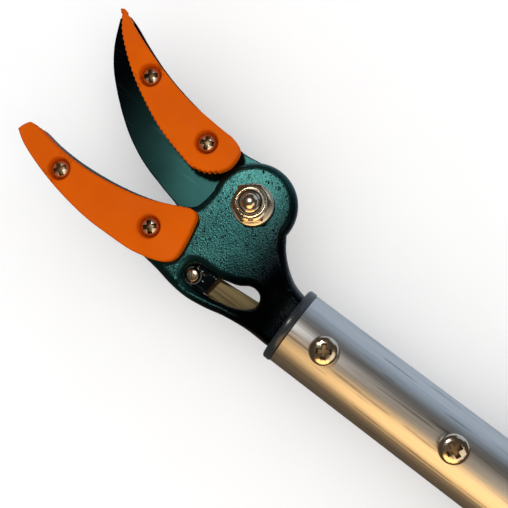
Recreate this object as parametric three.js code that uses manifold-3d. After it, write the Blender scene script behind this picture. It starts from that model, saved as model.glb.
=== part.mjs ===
// Long-reach cut-and-hold pruner on a telescoping aluminium pole.
// Units are millimetres. X runs along the pole from the butt of the handle to the cutting head,
// Y points to the fixed hook's side and Z to the front, where the pivot nut is. The tool lies flat
// on its back with the jaws open and the pole pushed in.
import * as THREE from "three";
import { mergeVertices } from "three/addons/utils/BufferGeometryUtils.js";
import Module from "manifold-3d";

const wasm = await Module();
wasm.setup();

// ---------------------------------------------------------------- driving dimensions
const GAP = 0.3;
const ROUND = 32;
const SMALL_ROUND = 20;

const HEAD_X = 740;
const FLOOR_Z = -19.5;

const UPPER_TUBE = { outer: 11, inner: 9.8, from: 200 };
const LOWER_TUBE = { outer: 13.5, inner: 12.3, from: 42, to: 624 };
const TUBE_HOLE = 2.4;

const FLANGE = { radius: 11.3, back: -0.9, front: 1.6 };
const SPIGOT_END = -8.5;
const TANG = { from: -60, half: 4.2, bottom: 4.4, top: 7.8 };
const HEAD_SCREWS = [-11.2, -51.7];
const HEAD_SCREW_Y = -0.8;

const PLATE = { bottom: 0.4, top: 4.0 };
const PIVOT = { x: 28.3, y: -20.8 };
const BOSS_RADIUS = 12.4;
const BLADE = { bottom: -3.0, top: 0 };
const LINK = { x: 30.8, y: 5.3 };
const ARM_RADIUS = 5.6;
const SLOT = { radius: 26.0, half: 3.2, start: 84.6, end: 123.5 };
const PAD_TOP = 8.5;
const PAD_RECESS = { radius: 3.3, floor: 5.2 };
const TOOTH = { pitch: 1.2, depth: 0.35 };
const BLADE_PAD_SCREWS = [[73.5, -33.1], [48.7, -27.1]];
const HOOK_PAD_SCREWS = [[79.0, 3.5], [47.7, 1.2]];

const BOLT_RADIUS = 3.0;
const HEX = 5.77;
const HEX_TURN = THREE.MathUtils.degToRad(36.9);

const STRAP = { width: 6.2, bottom: -5.2, top: -3.6, half: 0.8, tailHole: 2.9 };
const CLEVIS_X = -30;
const ROD = { radius: 4.0, from: 200 };
const PULL_TUBE = { outer: 6.0, inner: 4.6, from: 166, to: 562 };
const CLUTCH = { from: 556, to: 586, radius: 9.5 };

const STROKE = 14.4;
const TRIGGER_PIVOT = { x: 160, y: -27 };
const PIN_X = 160;
const TRIGGER_SWING = Math.atan(STROKE / -TRIGGER_PIVOT.y);
const CHEEK = { inner: 14.0, outer: 16.2 };
const CAVITY = { from: 124, to: 184, low: -36.5, half: 16.6 };
const SHELL = { from: 6.3, to: 192, half: 19.5, side: 17.5 };
const HANDLE_SCREWS = [[20, -10], [117, -22.5], [187, -27], [185, 19.5]];
const LATCH_PIVOT = { x: 36, y: 11 };

const SEAT = { from: 96, to: 104, pin: 99 };
const FORE_GRIP = { from: 330, to: 480, radius: 17.5 };
const COLLAR = { from: 600, to: 650, radius: 20.6, ears: 624, earsEnd: 642 };
const CLAMP = { x: 633, y: -25, pinZ: 16.2, earTop: 10.6 };

// ---------------------------------------------------------------- materials
const material = (color, roughness, metalness) =>
  new THREE.MeshStandardMaterial({ color, roughness, metalness });

const paint = () => material(0x1f4a44, 0.45, 0.2);
const orange = () => material(0xdc6200, 0.55, 0);
const nickel = () => material(0xb9b4a8, 0.22, 1);
const steel = () => material(0x8d8b86, 0.38, 1);
const brass = () => material(0x8c7440, 0.45, 1);
const aluminium = () => material(0xa8adb4, 0.35, 1);
const blackPlastic = () => material(0x2b2e31, 0.5, 0);
const foam = () => material(0x17181a, 0.9, 0);

// ---------------------------------------------------------------- solids
function solid(geometry) {
  const bare = geometry.index ? geometry.toNonIndexed() : geometry.clone();
  bare.deleteAttribute("normal");
  bare.deleteAttribute("uv");
  const merged = mergeVertices(bare, 1e-4);
  const mesh = new wasm.Mesh({
    numProp: 3,
    vertProperties: new Float32Array(merged.attributes.position.array),
    triVerts: new Uint32Array(merged.index.array),
  });
  return new wasm.Manifold(mesh);
}

function join(...solids) {
  return solids.reduce((all, next) => all.add(next));
}

function cut(body, ...tools) {
  return tools.reduce((left, tool) => left.subtract(tool), body);
}

function geometryOf(body) {
  const { vertProperties, triVerts } = body.getMesh();
  const geometry = new THREE.BufferGeometry();
  geometry.setAttribute("position", new THREE.BufferAttribute(vertProperties, 3));
  geometry.setIndex(new THREE.BufferAttribute(triVerts, 1));
  const flat = geometry.toNonIndexed();
  flat.computeVertexNormals();
  return flat;
}

function box(x0, x1, y0, y1, z0, z1) {
  const geometry = new THREE.BoxGeometry(x1 - x0, y1 - y0, z1 - z0);
  geometry.translate((x0 + x1) / 2, (y0 + y1) / 2, (z0 + z1) / 2);
  return solid(geometry);
}

function rodX(radius, x0, x1, y = 0, z = 0, segments = ROUND) {
  const geometry = new THREE.CylinderGeometry(radius, radius, x1 - x0, segments);
  geometry.rotateZ(-Math.PI / 2).translate((x0 + x1) / 2, y, z);
  return solid(geometry);
}

function rodZ(radius, x, y, z0, z1, segments = SMALL_ROUND) {
  const geometry = new THREE.CylinderGeometry(radius, radius, z1 - z0, segments);
  geometry.rotateX(Math.PI / 2).translate(x, y, (z0 + z1) / 2);
  return solid(geometry);
}

// A body of revolution: profile pairs are radius and distance along the axis.
function turned(profile, segments = ROUND) {
  const points = profile.map(([radius, along]) => new THREE.Vector2(radius, along));
  return new THREE.LatheGeometry(points, segments);
}

const turnedX = (profile, segments) => solid(turned(profile, segments).rotateZ(-Math.PI / 2));

const turnedZ = (profile, x, y, segments = SMALL_ROUND) =>
  solid(turned(profile, segments).rotateX(Math.PI / 2).translate(x, y, 0));

function plate(shape, z0, z1, curveSegments = 6) {
  const geometry = new THREE.ExtrudeGeometry(shape, {
    depth: z1 - z0,
    bevelEnabled: false,
    curveSegments,
  });
  return solid(geometry.translate(0, 0, z0));
}

// A profile drawn in (y, z) and swept along X.
function barX(shape, x0, x1, curveSegments = 6) {
  const geometry = new THREE.ExtrudeGeometry(shape, {
    depth: x1 - x0,
    bevelEnabled: false,
    curveSegments,
  });
  geometry.rotateX(Math.PI / 2).rotateZ(Math.PI / 2);
  return solid(geometry.translate(x0, 0, 0));
}

// A profile drawn in (x, z) and swept along Y.
function barY(shape, y0, y1) {
  const geometry = new THREE.ExtrudeGeometry(shape, { depth: y1 - y0, bevelEnabled: false });
  return solid(geometry.rotateX(Math.PI / 2).translate(0, y1, 0));
}

const vectors = (points) => points.map(([x, y]) => new THREE.Vector2(x, y));

const polygon = (points) => new THREE.Shape(vectors(points));

function roundedRectangle(x0, x1, y0, y1, radius) {
  const shape = new THREE.Shape();
  shape.absarc(x1 - radius, y1 - radius, radius, 0, Math.PI / 2);
  shape.absarc(x0 + radius, y1 - radius, radius, Math.PI / 2, Math.PI);
  shape.absarc(x0 + radius, y0 + radius, radius, Math.PI, 1.5 * Math.PI);
  shape.absarc(x1 - radius, y0 + radius, radius, 1.5 * Math.PI, 2 * Math.PI);
  return shape;
}

function spring(x0, x1, radius, wire, turns) {
  class Helix extends THREE.Curve {
    getPoint(t) {
      const angle = 2 * Math.PI * turns * t;
      const x = x0 + wire + (x1 - x0 - 2 * wire) * t;
      return new THREE.Vector3(x, radius * Math.cos(angle), radius * Math.sin(angle));
    }
  }
  const section = new THREE.Shape().absarc(0, 0, wire, 0, 2 * Math.PI);
  return new THREE.ExtrudeGeometry(section, {
    extrudePath: new Helix(),
    steps: turns * 14,
    curveSegments: 3,
    bevelEnabled: false,
  });
}

// A saw-toothed run of points along a smooth edge, its teeth on the left of the direction of travel.
function serrated(points, inset = 0) {
  const edge = new THREE.SplineCurve(vectors(points));
  const count = 2 * Math.round(edge.getLength() / TOOTH.pitch);
  const run = [];
  for (let i = 0; i <= count; i += 1) {
    const tangent = edge.getTangentAt(i / count);
    const shift = inset + (i % 2) * TOOTH.depth;
    const point = edge.getPointAt(i / count);
    run.push([point.x - shift * tangent.y, point.y + shift * tangent.x]);
  }
  return run;
}

// A pan-head or countersunk screw along -Z: head from z up, shank down to zEnd.
function crossScrew(x, y, z, headRadius, headHeight, shankRadius, zEnd) {
  const body = turnedZ(
    [
      [0, zEnd],
      [shankRadius, zEnd],
      [shankRadius, z],
      [headRadius, z],
      [headRadius, z + 0.45 * headHeight],
      [0.72 * headRadius, z + 0.85 * headHeight],
      [0.35 * headRadius, z + headHeight],
      [0, z + headHeight],
    ],
    x,
    y,
  );
  const arm = 0.5 * headRadius;
  const half = 0.14 * headRadius;
  const depth = z + 0.45 * headHeight;
  const top = z + headHeight + 1;
  return cut(
    body,
    box(x - arm, x + arm, y - half, y + half, depth, top),
    box(x - half, x + half, y - arm, y + arm, depth, top),
  );
}

// ---------------------------------------------------------------- outlines, from the tube mouth
const NECK_EDGE = [[1.9, -9.0], [5.9, -10.1], [9.9, -12.6], [13.4, -15.9], [15.9, -19.5]];
const HOOK_INNER = [
  [40.8, -13.8], [42.5, -10.3], [49.7, -6.5], [57.3, -4.1], [66.0, -2.4], [76.2, -1.4],
  [85.0, -1.5], [91.5, -2.3],
];
const HOOK_OUTER = [
  [95.6, 1.3], [91.0, 4.0], [83.6, 6.5], [74.5, 8.5], [64.6, 9.7], [56.8, 9.7], [48.5, 9.3], [41.0, 9.9],
  [34.4, 11.0], [28.5, 11.3], [22.2, 10.4], [16.7, 9.1], [9.0, 8.1], [1.9, 8.1],
];
const HOOK_PAD_EDGE = [
  [41.5, -9.9], [50.0, -6.1], [57.2, -3.7], [67.7, -1.8], [76.3, -1.2], [83.7, -1.5], [90.2, -2.5],
];
const HOOK_PAD_BACK = [
  [96.3, 1.5], [91.8, 4.1], [83.6, 6.8], [74.5, 8.8], [64.6, 10.0], [56.8, 10.0], [48.5, 9.6], [42.5, 8.3],
];
const BLADE_PAD_EDGE = [
  [90.6, -41.6], [87.5, -37.8], [79.8, -31.7], [71.1, -26.6], [61.3, -22.3], [49.8, -19.3],
];
const BLADE_PAD_BACK = [
  [42.0, -31.9], [49.6, -32.7], [60.5, -33.9], [72.4, -36.8], [83.3, -40.6], [91.0, -43.8],
];
const BLADE_EDGE = [
  [95.0, -42.4], [91.7, -35.2], [87.5, -29.3], [82.2, -24.2], [76.3, -19.5], [69.8, -15.3], [62.2, -11.9],
  [53.6, -9.5], [46.0, -7.5], [39.5, -3.5],
];
const BLADE_BACK = [
  [33.5, -32.1], [40.3, -31.4], [47.0, -32.5], [55.0, -33.6], [65.0, -35.3], [74.3, -37.7], [82.6, -40.7],
  [90.6, -44.1],
];

function castingOutline() {
  const shape = new THREE.Shape();
  shape.moveTo(...NECK_EDGE[0]);
  shape.splineThru(vectors(NECK_EDGE.slice(1)));
  const start = Math.PI * 0.967;
  shape.absarc(PIVOT.x, PIVOT.y, BOSS_RADIUS, start, 2.08 * Math.PI);
  shape.splineThru(vectors(HOOK_INNER));
  shape.lineTo(93.8, -2.0);
  shape.splineThru(vectors(HOOK_OUTER));
  return shape;
}

function arcSlot() {
  const radians = THREE.MathUtils.degToRad;
  const start = radians(SLOT.start);
  const end = radians(SLOT.end);
  const at = (angle) => [
    PIVOT.x + SLOT.radius * Math.cos(angle),
    PIVOT.y + SLOT.radius * Math.sin(angle),
  ];
  const shape = new THREE.Shape();
  shape.absarc(PIVOT.x, PIVOT.y, SLOT.radius + SLOT.half, start, end);
  shape.absarc(...at(end), SLOT.half, end, end + Math.PI);
  shape.absarc(PIVOT.x, PIVOT.y, SLOT.radius - SLOT.half, end, start, true);
  shape.absarc(...at(start), SLOT.half, start + Math.PI, start + 2 * Math.PI);
  return shape;
}

// ---------------------------------------------------------------- head
function headCasting() {
  const outline = castingOutline();
  const neckSide = polygon([[1.9, 1.0], [1.9, 7.8], [5.5, 7.2], [9.5, 5.6], [15.0, 3.9], [15.0, 1.0]]);
  const ribSide = polygon([[1.9, -4.2], [1.9, 1.2], [10.5, 1.2], [9.2, -3.6]]);
  const face = join(plate(outline, PLATE.bottom, PLATE.top), barY(neckSide, -30, 30));
  const channel = box(0, 12, -3.9, 7.1, -9, 1.0);
  const ribs = cut(barY(ribSide, -30, 30), channel);
  const body = join(face, ribs).intersect(plate(outline, -10, 10));
  const tang = box(TANG.from, 2.5, -TANG.half, TANG.half, TANG.bottom, TANG.top);
  return cut(
    join(body, tang),
    box(0, 7, -3.9, 7.1, -9, 1.0),
    plate(arcSlot(), -1, 6),
    rodZ(BOLT_RADIUS + GAP, PIVOT.x, PIVOT.y, -1, 6),
    ...HOOK_PAD_SCREWS.map(([x, y]) => rodZ(1.8, x, y, -1, 6, 12)),
    ...HEAD_SCREWS.map((x) => rodZ(2.3, x, HEAD_SCREW_Y, 0, 9)),
  );
}

function cuttingBlade() {
  const shape = new THREE.Shape();
  shape.moveTo(...BLADE_EDGE[0]);
  shape.splineThru(vectors(BLADE_EDGE.slice(1)));
  shape.absarc(LINK.x, LINK.y, ARM_RADIUS, -0.15, Math.PI);
  shape.splineThru(vectors([[24.2, 0.5], [20.5, -8.0], [17.8, -16.0]]));
  shape.absarc(PIVOT.x, PIVOT.y, BOSS_RADIUS - 1, 0.9 * Math.PI, 1.55 * Math.PI);
  shape.splineThru(vectors(BLADE_BACK));
  shape.lineTo(93.6, -44.6);
  return cut(
    plate(shape, BLADE.bottom, BLADE.top, 5),
    rodZ(4.5, PIVOT.x, PIVOT.y, -5, 1),
    rodZ(2.1, LINK.x, LINK.y, -5, 1),
    ...BLADE_PAD_SCREWS.map(([x, y]) => rodZ(1.8, x, y, -5, 1, 12)),
  );
}

function padHoles(screws) {
  return screws.map(([x, y]) =>
    join(rodZ(PAD_RECESS.radius, x, y, PAD_RECESS.floor, 10), rodZ(1.8, x, y, -1, 6, 12)),
  );
}

function bladeGripPad() {
  const outline = (inset) => {
    const shape = polygon(serrated(BLADE_PAD_EDGE, inset));
    shape.splineThru(vectors([[44.5, -20.0], [40.6, -23.0], [39.2, -27.0], [39.6, -30.4]]));
    shape.splineThru(vectors(BLADE_PAD_BACK));
    shape.lineTo(92.1, -44.0);
    shape.lineTo(92.4, -43.4);
    return shape;
  };
  const sole = cut(
    plate(outline(1.4), BLADE.top + GAP, PLATE.top + 1),
    rodZ(BOSS_RADIUS + 3.6, PIVOT.x, PIVOT.y, -1, PLATE.top + 0.4, ROUND),
  );
  return cut(join(plate(outline(0), PLATE.top + 0.4, PAD_TOP), sole), ...padHoles(BLADE_PAD_SCREWS));
}

function hookGripPad() {
  const shape = polygon(serrated([...HOOK_PAD_EDGE].reverse(), -0.25).reverse());
  shape.lineTo(94.6, -2.2);
  shape.splineThru(vectors(HOOK_PAD_BACK));
  shape.splineThru(vectors([[38.6, 6.4], [36.6, 3.6], [37.4, -3.7], [38.7, -8.4]]));
  return cut(plate(shape, PLATE.top + GAP, PAD_TOP), ...padHoles(HOOK_PAD_SCREWS));
}

function padScrew([x, y], zEnd) {
  return crossScrew(x, y, PAD_RECESS.floor + GAP, 2.75, 1.9, 1.5, zEnd);
}

function hexagon(x, y, z0, z1) {
  const geometry = new THREE.CylinderGeometry(HEX, HEX, z1 - z0, 6);
  geometry.rotateX(Math.PI / 2).rotateZ(HEX_TURN + Math.PI / 2).translate(x, y, (z0 + z1) / 2);
  return solid(geometry);
}

function pivotNut() {
  const collar = turnedZ([[0, 8.5], [4.6, 8.5], [4.4, 10.0], [3.9, 10.6], [0, 10.6]], PIVOT.x, PIVOT.y);
  const body = join(hexagon(PIVOT.x, PIVOT.y, 5.9, 9.3), collar);
  return cut(body, rodZ(BOLT_RADIUS + GAP, PIVOT.x, PIVOT.y, 5, 12));
}

function pivotBolt() {
  const shank = turnedZ(
    [[0, -5], [BOLT_RADIUS, -5], [BOLT_RADIUS, 10.6], [2.4, 11.5], [1.2, 12.0], [0, 12.1]],
    PIVOT.x,
    PIVOT.y,
  );
  return join(hexagon(PIVOT.x, PIVOT.y, -8.6, -4.7), shank);
}

function ring(x, y, outer, inner, z0, z1) {
  return cut(rodZ(outer, x, y, z0, z1), rodZ(inner, x, y, z0 - 1, z1 + 1));
}

function linkPin() {
  const body = join(rodZ(1.8, LINK.x, LINK.y, -5.6, 1.6), rodZ(3.0, LINK.x, LINK.y, -7.0, -5.5));
  return cut(body, box(LINK.x - 3, LINK.x + 3, LINK.y - 0.3, LINK.y + 0.3, 1.0, 3));
}

function linkPinClip() {
  const mouth = box(LINK.x - 1.2, LINK.x + 1.2, LINK.y - 4, LINK.y, 0, 2);
  return cut(ring(LINK.x, LINK.y, 2.7, 2.1, GAP, 0.9), mouth);
}

// The strap's own frame: the link pin hole at the origin, the tail hole on +X.
const STRAP_LENGTH = Math.hypot(LINK.x - CLEVIS_X, LINK.y);
const STRAP_ANGLE = Math.atan2(-LINK.y, CLEVIS_X - LINK.x);

function pullStrap() {
  const { bottom, top, half, width } = STRAP;
  const bendFrom = LINK.x - 2;
  const bendTo = bendFrom + 8;
  const far = STRAP_LENGTH + 8;
  const side = polygon([
    [-8, bottom], [bendFrom, bottom], [bendTo, -half], [far, -half],
    [far, half], [bendTo - 0.6, half], [bendFrom - 0.6, top], [-8, top],
  ]);
  const plan = roundedRectangle(-3.9, STRAP_LENGTH + 3.6, -width / 2, width / 2, 3.1);
  return cut(
    barY(side, -10, 10).intersect(plate(plan, -10, 10)),
    rodZ(2.1, 0, 0, -9, 0),
    rodZ(STRAP.tailHole, STRAP_LENGTH, 0, -5, 5, 16),
  );
}

function tubePlug() {
  const body = turnedX([
    [0, SPIGOT_END], [UPPER_TUBE.inner - GAP, SPIGOT_END], [UPPER_TUBE.inner - GAP, FLANGE.back],
    [FLANGE.radius, FLANGE.back], [FLANGE.radius, FLANGE.front - 0.6],
    [FLANGE.radius - 0.6, FLANGE.front], [0, FLANGE.front],
  ]);
  const tangHole = box(-20, 5, -TANG.half - GAP, TANG.half + GAP, 2, TANG.top + GAP);
  const strapHole = box(-20, 5, -4.6, 6.8, -5.6, 3.2);
  return cut(body, tangHole, strapHole);
}

// ---------------------------------------------------------------- pole and pull rod
function upperTube() {
  const end = HEAD_X + FLANGE.back - GAP;
  const body = cut(
    rodX(UPPER_TUBE.outer, UPPER_TUBE.from, end),
    rodX(UPPER_TUBE.inner, UPPER_TUBE.from - 1, end + 1),
  );
  return cut(body, ...HEAD_SCREWS.map((x) => rodZ(TUBE_HOLE, HEAD_X + x, HEAD_SCREW_Y, 5, 15)));
}

function tailBush() {
  const from = UPPER_TUBE.from + 1;
  const body = rodX(LOWER_TUBE.inner - GAP, from, from + 18);
  return cut(body, rodX(UPPER_TUBE.outer + GAP, from - 1, from + 19));
}

function lowerTube() {
  const body = cut(
    rodX(LOWER_TUBE.outer, LOWER_TUBE.from, LOWER_TUBE.to),
    rodX(LOWER_TUBE.inner, LOWER_TUBE.from - 1, LOWER_TUBE.to + 1),
  );
  return cut(
    body,
    box(PIN_X - STROKE - 3.4, PIN_X + 3.4, -3, 3, -20, 20),
    rodZ(2.3, SEAT.pin, 0, -20, 20),
  );
}

function slideBush() {
  const to = LOWER_TUBE.to + GAP;
  const sleeve = rodX(LOWER_TUBE.inner - GAP, to - 40, to + 1);
  const flange = rodX(LOWER_TUBE.outer, to, to + 1.8);
  return cut(join(sleeve, flange), rodX(UPPER_TUBE.outer + GAP, to - 41, to + 3));
}

function rodClevis() {
  const fork = barY(polygon([[-46, -3.3], [-46, 3.3], [-26, 3.3], [-26, -3.3]]), -4, 4);
  const nose = roundedRectangle(-50, -26, -3.9, 3.9, 3);
  const forked = cut(
    fork.intersect(plate(nose, -9, 9)),
    box(-37, 0, -9, 9, -STRAP.half - GAP, STRAP.half + GAP),
    rodZ(1.8, CLEVIS_X, 0, -9, 9),
  );
  return cut(join(forked, rodX(3.8, -48, -40, 0, 0, 24)), rodX(2.8, -49, -39.7, 0, 0, 20));
}

function innerPullRod() {
  const shoulder = HEAD_X - 48 - GAP;
  const thick = rodX(ROD.radius, ROD.from, shoulder, 0, 0, 24);
  return join(thick, rodX(2.5, shoulder - 1, HEAD_X - 40, 0, 0, 20));
}

function outerPullTube() {
  const { outer, inner, from, to } = PULL_TUBE;
  const body = cut(rodX(outer, from, to, 0, 0, 24), rodX(inner, from - 1, to + 1, 0, 0, 24));
  return cut(body, rodY(1.8, from + 12, -8, 8));
}

function rodY(radius, x, y0, y1) {
  const geometry = new THREE.CylinderGeometry(radius, radius, y1 - y0, 12);
  return solid(geometry.translate(x, (y0 + y1) / 2, 0));
}

function clutchHousing() {
  const { from, to, radius } = CLUTCH;
  const socket = PULL_TUBE.outer + GAP;
  const bore = ROD.radius + 0.5;
  return turnedX([
    [socket, from], [radius, from], [radius, to], [bore, to], [bore, to - 4],
    [8.2, to - 4], [8.2, from + 8], [bore, from + 8], [bore, from + 6.4],
    [socket, from + 6.4], [socket, from],
  ], 24);
}

function clutchPlate() {
  const body = cut(rodX(7.6, -1, 1, 0, 0, 24), rodX(ROD.radius + 0.6, -2, 2, 0, 0, 24));
  return body.rotate([0, 0, 8]).translate([CLUTCH.from + 12, 0, 0]);
}

// ---------------------------------------------------------------- drive in the handle
function shuttle() {
  const rear = PIN_X - 12;
  const front = PIN_X + 26;
  const wide = LOWER_TUBE.inner - GAP;
  const body = turnedX([[0, rear - 8], [6, rear - 8], [6, rear], [wide, rear], [wide, front], [0, front]]);
  return cut(
    body,
    rodX(PULL_TUBE.outer + GAP, PULL_TUBE.from - GAP, front + 1, 0, 0, 24),
    rodZ(2.8, PIN_X, 0, -20, 20),
    rodY(1.8, PULL_TUBE.from + 12, -20, 20),
  );
}

function springSeat() {
  const { from, to, pin } = SEAT;
  const wide = LOWER_TUBE.inner - GAP;
  const body = turnedX([[0, from], [wide, from], [wide, to], [6, to], [6, to + 8], [0, to + 8]]);
  return cut(body, rodZ(2.3, pin, 0, -20, 20));
}

// The trigger is drawn squeezed, with its bar along the grip, and turned back to its open place.
function trigger() {
  const { x, y } = TRIGGER_PIVOT;
  const bar = new THREE.Shape();
  bar.moveTo(150, 20.5);
  bar.splineThru(vectors([[120, 19.0], [84, 20.2], [54, 19.2], [43, 21.5], [41.3, 28.0], [42.5, 34.2]]));
  bar.lineTo(51, 34.2);
  bar.splineThru(vectors([[62, 31.5], [90, 32.5], [120, 33.0], [148, 36.0]]));
  const squeezed = plate(bar, -9, 9, 3);
  const open = squeezed
    .translate([-x, -y, 0])
    .rotate([0, 0, THREE.MathUtils.radToDeg(-TRIGGER_SWING)])
    .translate([x, y, 0]);
  const cheek = new THREE.Shape();
  cheek.absarc(x, y, 9, Math.PI, 2 * Math.PI);
  cheek.splineThru(vectors([[170.5, 0], [172.5, 20], [172.5, 36]]));
  cheek.splineThru(vectors([[165, 45], [148, 49]]));
  cheek.splineThru(vectors([[149, 38], [152, 26], [152, 10]]));
  const bridge = box(130, 180, 28, 60, -CHEEK.outer, CHEEK.outer);
  const cheekBlock = plate(cheek, -CHEEK.outer, CHEEK.outer, 4);
  const straddle = box(130, 180, -50, 28, -CHEEK.inner, CHEEK.inner);
  const cheeks = cut(cheekBlock, straddle);
  const slot = roundedRectangle(PIN_X - 3.4, PIN_X + 3.4, -3.4, 7.0, 3.3);
  return cut(
    join(cheeks, cheekBlock.intersect(bridge), open),
    rodZ(3.3, x, y, -20, 20),
    plate(slot, -20, 20, 3),
  );
}

// ---------------------------------------------------------------- handle shells
function handleBody() {
  const side = new THREE.Shape();
  side.moveTo(100, -SHELL.side);
  side.splineThru(vectors([[108, -19.5], [117, -27.5], [126, -36.5], [136, -40.0]]));
  side.lineTo(178, -40.0);
  side.splineThru(vectors([[187, -36.5], [SHELL.to, -28]]));
  side.lineTo(SHELL.to, 20);
  side.splineThru(vectors([[190, 23.5], [185, 24.5], [179, 22.5], [176, SHELL.side]]));
  side.lineTo(100, SHELL.side);
  const housing = plate(side, -SHELL.half, SHELL.half, 4).intersect(
    barX(roundedRectangle(-40, 24.5, -SHELL.half, SHELL.half, 7), 90, 200),
  );
  const section = roundedRectangle(-SHELL.side, SHELL.side, -SHELL.half, SHELL.half, 9);
  const grip = barX(section, SHELL.from, 130);
  return join(grip, housing);
}

function handleHollow() {
  const { from, to, low, half } = CAVITY;
  return join(
    rodX(LOWER_TUBE.outer + GAP, LOWER_TUBE.from - GAP, SHELL.to + 5),
    box(from - 6, to - 9, 0, 30, -half, half),
    box(from, to, low, 10, -half, half),
    box(15, LOWER_TUBE.from - 4, -4, 4, -15, 15),
    box(-5, 12.5, -14, 4, -14, 14),
    box(-5, LATCH_PIVOT.x + 9, LATCH_PIVOT.y - 6, 30, -4.3, 4.3),
    rodZ(2.4, SEAT.pin, 0, -17.4, 17.4),
    rodZ(3.3, TRIGGER_PIVOT.x, TRIGGER_PIVOT.y, -30, 30),
    rodZ(1.8, LATCH_PIVOT.x, LATCH_PIVOT.y, -9, 9, 12),
  );
}

function handleShell(z0, z1) {
  const half = box(-10, 260, -80, 80, z0, z1);
  const body = cut(handleBody().intersect(half), handleHollow());
  const holes = HANDLE_SCREWS.map(([x, y]) =>
    join(rodZ(1.8, x, y, -20, 9, 12), rodZ(3.4, x, y, -30, -16.3, 16)),
  );
  return cut(body, ...holes);
}

// The rear of the tool is where its screws go in, so their heads point down.
function handleScrew([x, y]) {
  return crossScrew(x, y, 16.6, 3.0, 2.3, 1.5, -8).rotate([180, 0, 0]).translate([0, 2 * y, 0]);
}

function endCap() {
  const face = barX(roundedRectangle(-SHELL.side, SHELL.side, -SHELL.half, SHELL.half, 9), 0, 6);
  return join(face, box(5, 12, -13.7, 3.7, -13.7, 13.7));
}

// The latch lies back along the butt and swings up to hook the squeezed trigger's nose.
function latch() {
  const { x, y } = LATCH_PIVOT;
  const arm = new THREE.Shape();
  arm.absarc(0, 0, 4, 0, Math.PI);
  arm.lineTo(-4, -23.6);
  arm.splineThru(vectors([[-3, -27], [1, -28.5]]));
  arm.lineTo(9, -28.0);
  arm.lineTo(9.5, -24.4);
  arm.lineTo(4, -24.0);
  const body = cut(plate(arm, -4, 4, 4), rodZ(1.9, 0, 0, -9, 9, 12));
  return body.rotate([180, 0, 90]).translate([x, y, 0]);
}

// ---------------------------------------------------------------- pole lock
function lockCollar() {
  const { from, to, radius, ears, earsEnd } = COLLAR;
  const chamfer = 2;
  const body = turnedX([
    [0, from], [radius - chamfer, from], [radius, from + chamfer], [radius, to - chamfer],
    [radius - chamfer, to], [0, to],
  ]);
  const ear = roundedRectangle(-31, -10, -CLAMP.earTop, CLAMP.earTop, 2);
  return cut(
    join(body, barX(ear, ears, earsEnd, 2)),
    rodX(LOWER_TUBE.outer + GAP, from - 1, LOWER_TUBE.to + 2.6),
    rodX(UPPER_TUBE.outer + GAP, from, to + 1),
    box(from - 1, to + 1, -40, -5, -0.8, 0.8),
    box(from - 1, to + 1, -40, 40, -30, FLOOR_Z),
    rodZ(2.8, CLAMP.x, CLAMP.y, -20, 20),
  );
}

function lockBolt() {
  const { x, y, pinZ } = CLAMP;
  const eye = cut(rodX(4.2, x - 2.7, x + 2.7, y, pinZ, 20), rodX(2.3, x - 9, x + 9, y, pinZ, 16));
  return join(eye, rodZ(2.5, x, y, -17.0, pinZ - 3.2));
}

function lockNut() {
  const { x, y, earTop } = CLAMP;
  return cut(rodZ(4.6, x, y, -earTop - 4.3, -earTop - GAP, 6), rodZ(2.8, x, y, -20, 0));
}

// Two round cams on the pin's ends carry a lever that wraps round the front of the collar.
function lockLever() {
  const { x, y, pinZ, earTop } = CLAMP;
  const cam = pinZ - earTop - GAP;
  const cams = rodX(cam, x - 8.7, x + 8.7, y, pinZ, 20);
  const wrap = new THREE.Shape();
  const clear = COLLAR.radius + 0.5;
  wrap.absarc(0, 0, clear, 2.1, 0.9, true);
  wrap.absarc(0, 0, clear + 3.6, 0.9, 2.1, false);
  wrap.lineTo(y + 1, pinZ + cam - 0.2);
  wrap.lineTo(y + 1, pinZ - 1);
  const body = join(cams, barX(wrap, x - 8.7, x + 8.7, 10));
  return cut(
    body,
    box(x - 3.1, x + 3.1, y - 9, y + 6.5, 0, pinZ + 9),
    rodX(2.3, x - 20, x + 20, y, pinZ, 16),
  );
}

function lockLeverPin() {
  return rodX(2.0, CLAMP.x - 8.7, CLAMP.x + 8.7, CLAMP.y, CLAMP.pinZ, 16);
}

function foreGrip() {
  const { from, to, radius } = FORE_GRIP;
  const inner = LOWER_TUBE.outer + GAP;
  return turnedX([
    [inner, from], [radius - 2, from], [radius, from + 2], [radius, to - 2], [radius - 2, to],
    [inner, to], [inner, from],
  ]);
}

// ---------------------------------------------------------------- assembly
const tool = new THREE.Group();
const head = new THREE.Group();
head.position.x = HEAD_X;
tool.add(head);

function place(parent, name, body, finish) {
  const geometry = body.isBufferGeometry ? body : geometryOf(body);
  const mesh = new THREE.Mesh(geometry, finish);
  mesh.name = name;
  parent.add(mesh);
  return mesh;
}

place(head, "head_casting", headCasting(), paint());
place(head, "cutting_blade", cuttingBlade(), paint());
place(head, "blade_grip_pad", bladeGripPad(), orange());
place(head, "hook_grip_pad", hookGripPad(), orange());
BLADE_PAD_SCREWS.forEach((at, i) =>
  place(head, `blade_pad_screw_${i + 1}`, padScrew(at, BLADE.bottom + GAP), nickel()),
);
HOOK_PAD_SCREWS.forEach((at, i) =>
  place(head, `hook_pad_screw_${i + 1}`, padScrew(at, PLATE.bottom + GAP), nickel()),
);
place(head, "pivot_bolt", pivotBolt(), nickel());
place(head, "pivot_bush", ring(PIVOT.x, PIVOT.y, 4.2, 3.3, BLADE.bottom, BLADE.top), brass());
place(head, "pivot_rear_washer", ring(PIVOT.x, PIVOT.y, 6.0, 3.3, -4.4, -3.3), nickel());
place(head, "pivot_washer", ring(PIVOT.x, PIVOT.y, 6.0, 3.3, 4.3, 5.6), nickel());
place(head, "pivot_nut", pivotNut(), nickel());
place(head, "link_pin", linkPin(), steel());
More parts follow.
